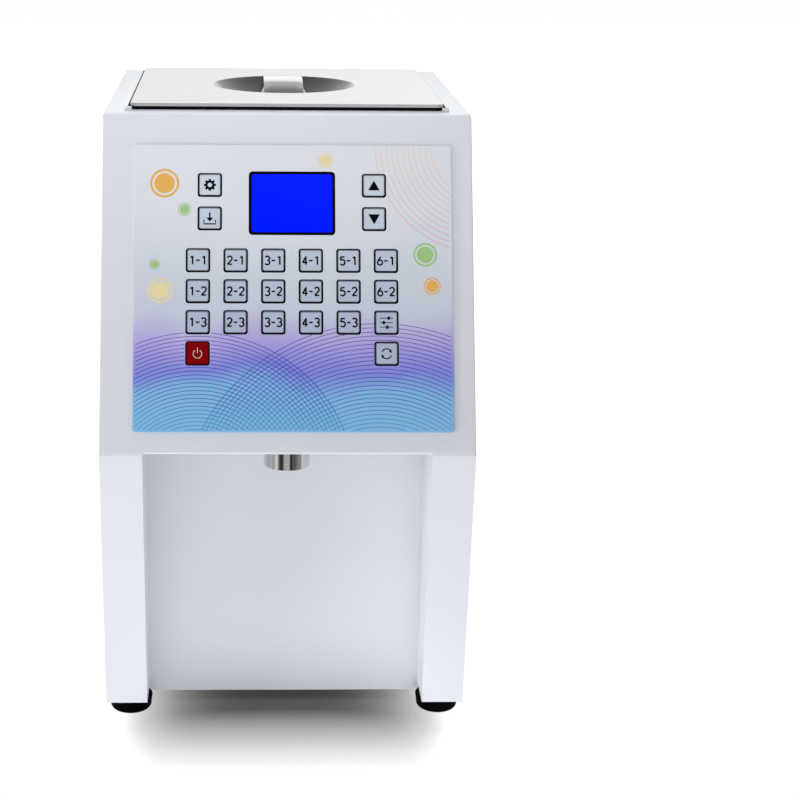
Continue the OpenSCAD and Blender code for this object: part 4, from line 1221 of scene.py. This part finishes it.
def draw_figures() -> dict[str, list[list[Point]]]:
    """Draw the figures and the dash in a box from -0.5 to 0.5, with v upwards.

    Returns:
        The lines of each figure.
    """
    oval = [(0.5 * u, 0.3 * v - 0.2) for u, v in arc(0, 0, 1, 0, 360, 28)]
    bow = [(0.46 * u, 0.28 * v + 0.22) for u, v in arc(0, 0, 1, 165, -35, 18)]
    upper = [(0.44 * u, 0.25 * v + 0.25) for u, v in arc(0, 0, 1, 155, -90, 18)]
    lower = [(0.48 * u, 0.27 * v - 0.23) for u, v in arc(0, 0, 1, 90, -155, 18)]
    belly = [(0.5 * u, 0.31 * v - 0.19) for u, v in arc(0, 0, 1, 135, -150, 22)]
    return {
        "-": [[(-0.38, 0.0), (0.38, 0.0)]],
        "1": [[(-0.3, 0.3), (0.12, 0.49)], [(0.12, 0.5), (0.12, -0.5)]],
        "2": [bow + [(-0.44, -0.46)], [(-0.5, -0.46), (0.5, -0.46)]],
        "3": [upper, lower],
        "4": [[(0.2, -0.5), (0.2, 0.5)], [(0.2, 0.46), (-0.46, -0.2)], [(-0.52, -0.22), (0.52, -0.22)]],
        "5": [[(-0.34, 0.46), (0.44, 0.46)], [(-0.34, 0.48), (-0.4, 0.02)], belly],
        "6": [[(0.2, 0.5), (-0.2, 0.2), (-0.42, -0.03), (-0.5, -0.2)], oval],
    }


@dataclass
class Keypad:
    """Printed keys, display outline and the generic print of the panel. Millimetres."""

    panel: Panel
    key_inner: float = 16.15
    key_line: float = 18.4
    key_r: Point = (2.2, 1.4)
    key_top: float = 1.85
    key_frame: Point = (15.9, 15.2)
    frame_r: float = 1.0
    lens_inner: Point = (60.8, 44.4)
    lens_line: Point = (65.2, 48.8)
    lens_r: Point = (3.0, 2.0)
    ink: float = 0.03
    digit_h: float = 6.4
    digit_w: float = 3.6
    digit_step: float = 4.45
    digit_line: float = 1.2
    margin: float = 1.2
    run_step: float = 0.8
    run_least: int = 24
    cool_fans: tuple[Fan, ...] = (
        Fan(-72.0, 262.0, 46.0, 2.9, 26, 0.55), Fan(64.0, 286.0, 72.0, 3.1, 26, 0.55),
    )
    warm_fans: tuple[Fan, ...] = (Fan(142.0, 2.0, 38.0, 4.2, 11, 0.42),)
    bubble_ring: float = 0.84
    bubble_dot: float = 0.7
    bubble_steps: int = 72

    def __post_init__(self) -> None:
        """Find the keys and the display on the panel."""
        nodes = [name for name in frame["nodes"] if name.startswith("key_")]
        self.keys: dict[str, Point] = {name: self.panel.middle(name) for name in sorted(nodes)}
        self.lens = self.panel.middle("display_lens")
        self.face = self.panel.thick
        self.signs, self.figures = draw_signs(), draw_figures()

    def build(self) -> None:
        """Print the outlines, the legends and the artwork."""
        self.print_outlines()
        for name, at in self.keys.items():
            self.print_legend(name, at)
        self.print_fans("print_ripples", COOL_INK, self.cool_fans)
        self.print_fans("print_warm_fan", WARM_INK, self.warm_fans)
        self.print_bubbles()

    def print_outlines(self) -> None:
        """Print black outlines round the key windows and the display."""
        form = Form()
        windows = list(zip(((self.key_line,) * 2, (self.key_inner,) * 2), self.key_r))
        for at in self.keys.values():
            self.slab(form, [round_rect(*size, r, *at) for size, r in windows], self.face)
        screen = zip((self.lens_line, self.lens_inner), self.lens_r)
        self.slab(form, [round_rect(*size, r, *self.lens) for size, r in screen], self.face)
        make_piece("print_outlines", form, BLACK_INK, Carrier("cabinet", "panel_film"))

    def print_legend(self, name: str, at: Point) -> None:
        """Print one key's number or sign.

        Args:
            name: Node of the key, which is also its body.
            at: Its middle on the panel.
        """
        label = name.removeprefix("key_")
        sign = self.signs.get(name) or self.number(label.replace("_", "-"))
        x, q = at
        form = Form()
        for loops in sign.shapes:
            self.slab(form, [[(x + u, q + v) for u, v in loop] for loop in loops], self.key_top)
        for line, width in sign.lines:
            self.stroke(form, [(x + u, q + v) for u, v in line], width, self.key_top)
        finish, slot = BLACK_INK, "key_film"
        if name == "key_power":
            finish, slot = WHITE_INK, "key_red"
        else:
            outlines = [round_rect(size, size, self.frame_r, x, q) for size in self.key_frame]
            self.slab(form, outlines, self.key_top)
        make_piece("legend_" + label, form, finish, Carrier(name, slot))

    def number(self, words: str) -> Sign:
        """Draw a column figure, a dash and a row figure with strokes of one width.

        Args:
            words: Two figures with a dash between them.

        Returns:
            The sign.
        """
        lines = []
        for i, figure in enumerate(words):
            middle = (i - (len(words) - 1) / 2) * self.digit_step
            for line in self.figures[figure]:
                drawn = [(middle + u * self.digit_w, -v * self.digit_h) for u, v in line]
                lines.append((drawn, self.digit_line))
        return Sign(lines=tuple(lines))

    def slab(self, form: Form, loops: Sequence[Sequence[Point]], level: float) -> None:
        """Print a flat shape at a level over the slope."""
        form.slab(loops, level - self.ink, level + self.ink, self.panel.place)

    def stroke(self, form: Form, line: Sequence[Point], width: float, level: float) -> None:
        """Print a line at a level over the slope."""
        form.ribbon(line, width, level - self.ink, level + self.ink, self.panel.place)

    def clear(self, x: float, q: float) -> bool:
        """Tell whether a point of the print lies on the film, away from its edges, keys and display.

        Args:
            x: Point across.
            q: Point down.

        Returns:
            Whether ink may go there.
        """
        inside = abs(x) < self.panel.w / 2 - self.margin and self.margin < q < self.panel.h - self.margin
        half = self.key_line / 2
        off_keys = all(abs(x - kx) > half or abs(q - kq) > half for kx, kq in self.keys.values())
        lx, lq = self.lens
        off_lens = abs(x - lx) > self.lens_line[0] / 2 or abs(q - lq) > self.lens_line[1] / 2
        return inside and off_keys and off_lens

    def runs(self, x: float, q: float, r: float) -> list[list[Point]]:
        """Stretches of a circle that lie clear on the film.

        Args:
            x: Middle of the circle across.
            q: Middle of the circle down.
            r: Radius.

        Returns:
            Lines of three or more points.
        """
        steps = max(int(2 * math.pi * r / self.run_step), self.run_least)
        found: list[list[Point]] = [[]]
        for point in arc(x, q, r, 90, 450, steps):
            if self.clear(*point):
                found[-1].append(point)
            elif found[-1]:
                found.append([])
        return [line for line in found if len(line) > 2]

    def print_fans(self, name: str, finish: Finish, fans: Sequence[Fan]) -> None:
        """Print fans of fine rings that spread over the film from middles outside it.

        Args:
            name: Name of the piece.
            finish: Its ink.
            fans: Its fans.
        """
        form = Form()
        for fan in fans:
            for i in range(fan.count):
                for line in self.runs(fan.x, fan.q, fan.first + i * fan.step):
                    self.stroke(form, line, fan.line, self.face)
        make_piece(name, form, finish, Carrier("cabinet", "panel_film"))

    def print_bubbles(self) -> None:
        """Print plain rings and dots in pastel colours."""
        spots = (
            ("print_bubbles_orange", ORANGE_INK, ((-97.0, 30.0, 11.0), (104.0, 108.0, 6.5))),
            ("print_bubbles_lime", LIME_INK, ((-82.0, 50.0, 5.0), (99.0, 84.0, 9.0), (-104.0, 92.0, 4.0))),
            ("print_bubbles_yellow", YELLOW_INK, ((-100.0, 112.0, 9.5), (24.0, 12.0, 6.0))),
        )
        for name, finish, rings in spots:
            form = Form()
            for x, q, r in rings:
                for radii in ((r, self.bubble_ring * r), (self.bubble_dot * r,)):
                    self.slab(form, [circle(x, q, radius, self.bubble_steps) for radius in radii], self.face)
            make_piece(name, form, finish, Carrier("cabinet", "panel_film"))


def main() -> None:
    """Build the studio and dress the part, sub-assembly by sub-assembly."""
    logging.basicConfig(level=logging.INFO, format="%(message)s")
    Studio().build()
    dress_nodes()
    Lid().build()
    Feet().build()
    LegSeams().build()
    Keypad(Panel()).build()


if __name__ == "__main__":
    main()
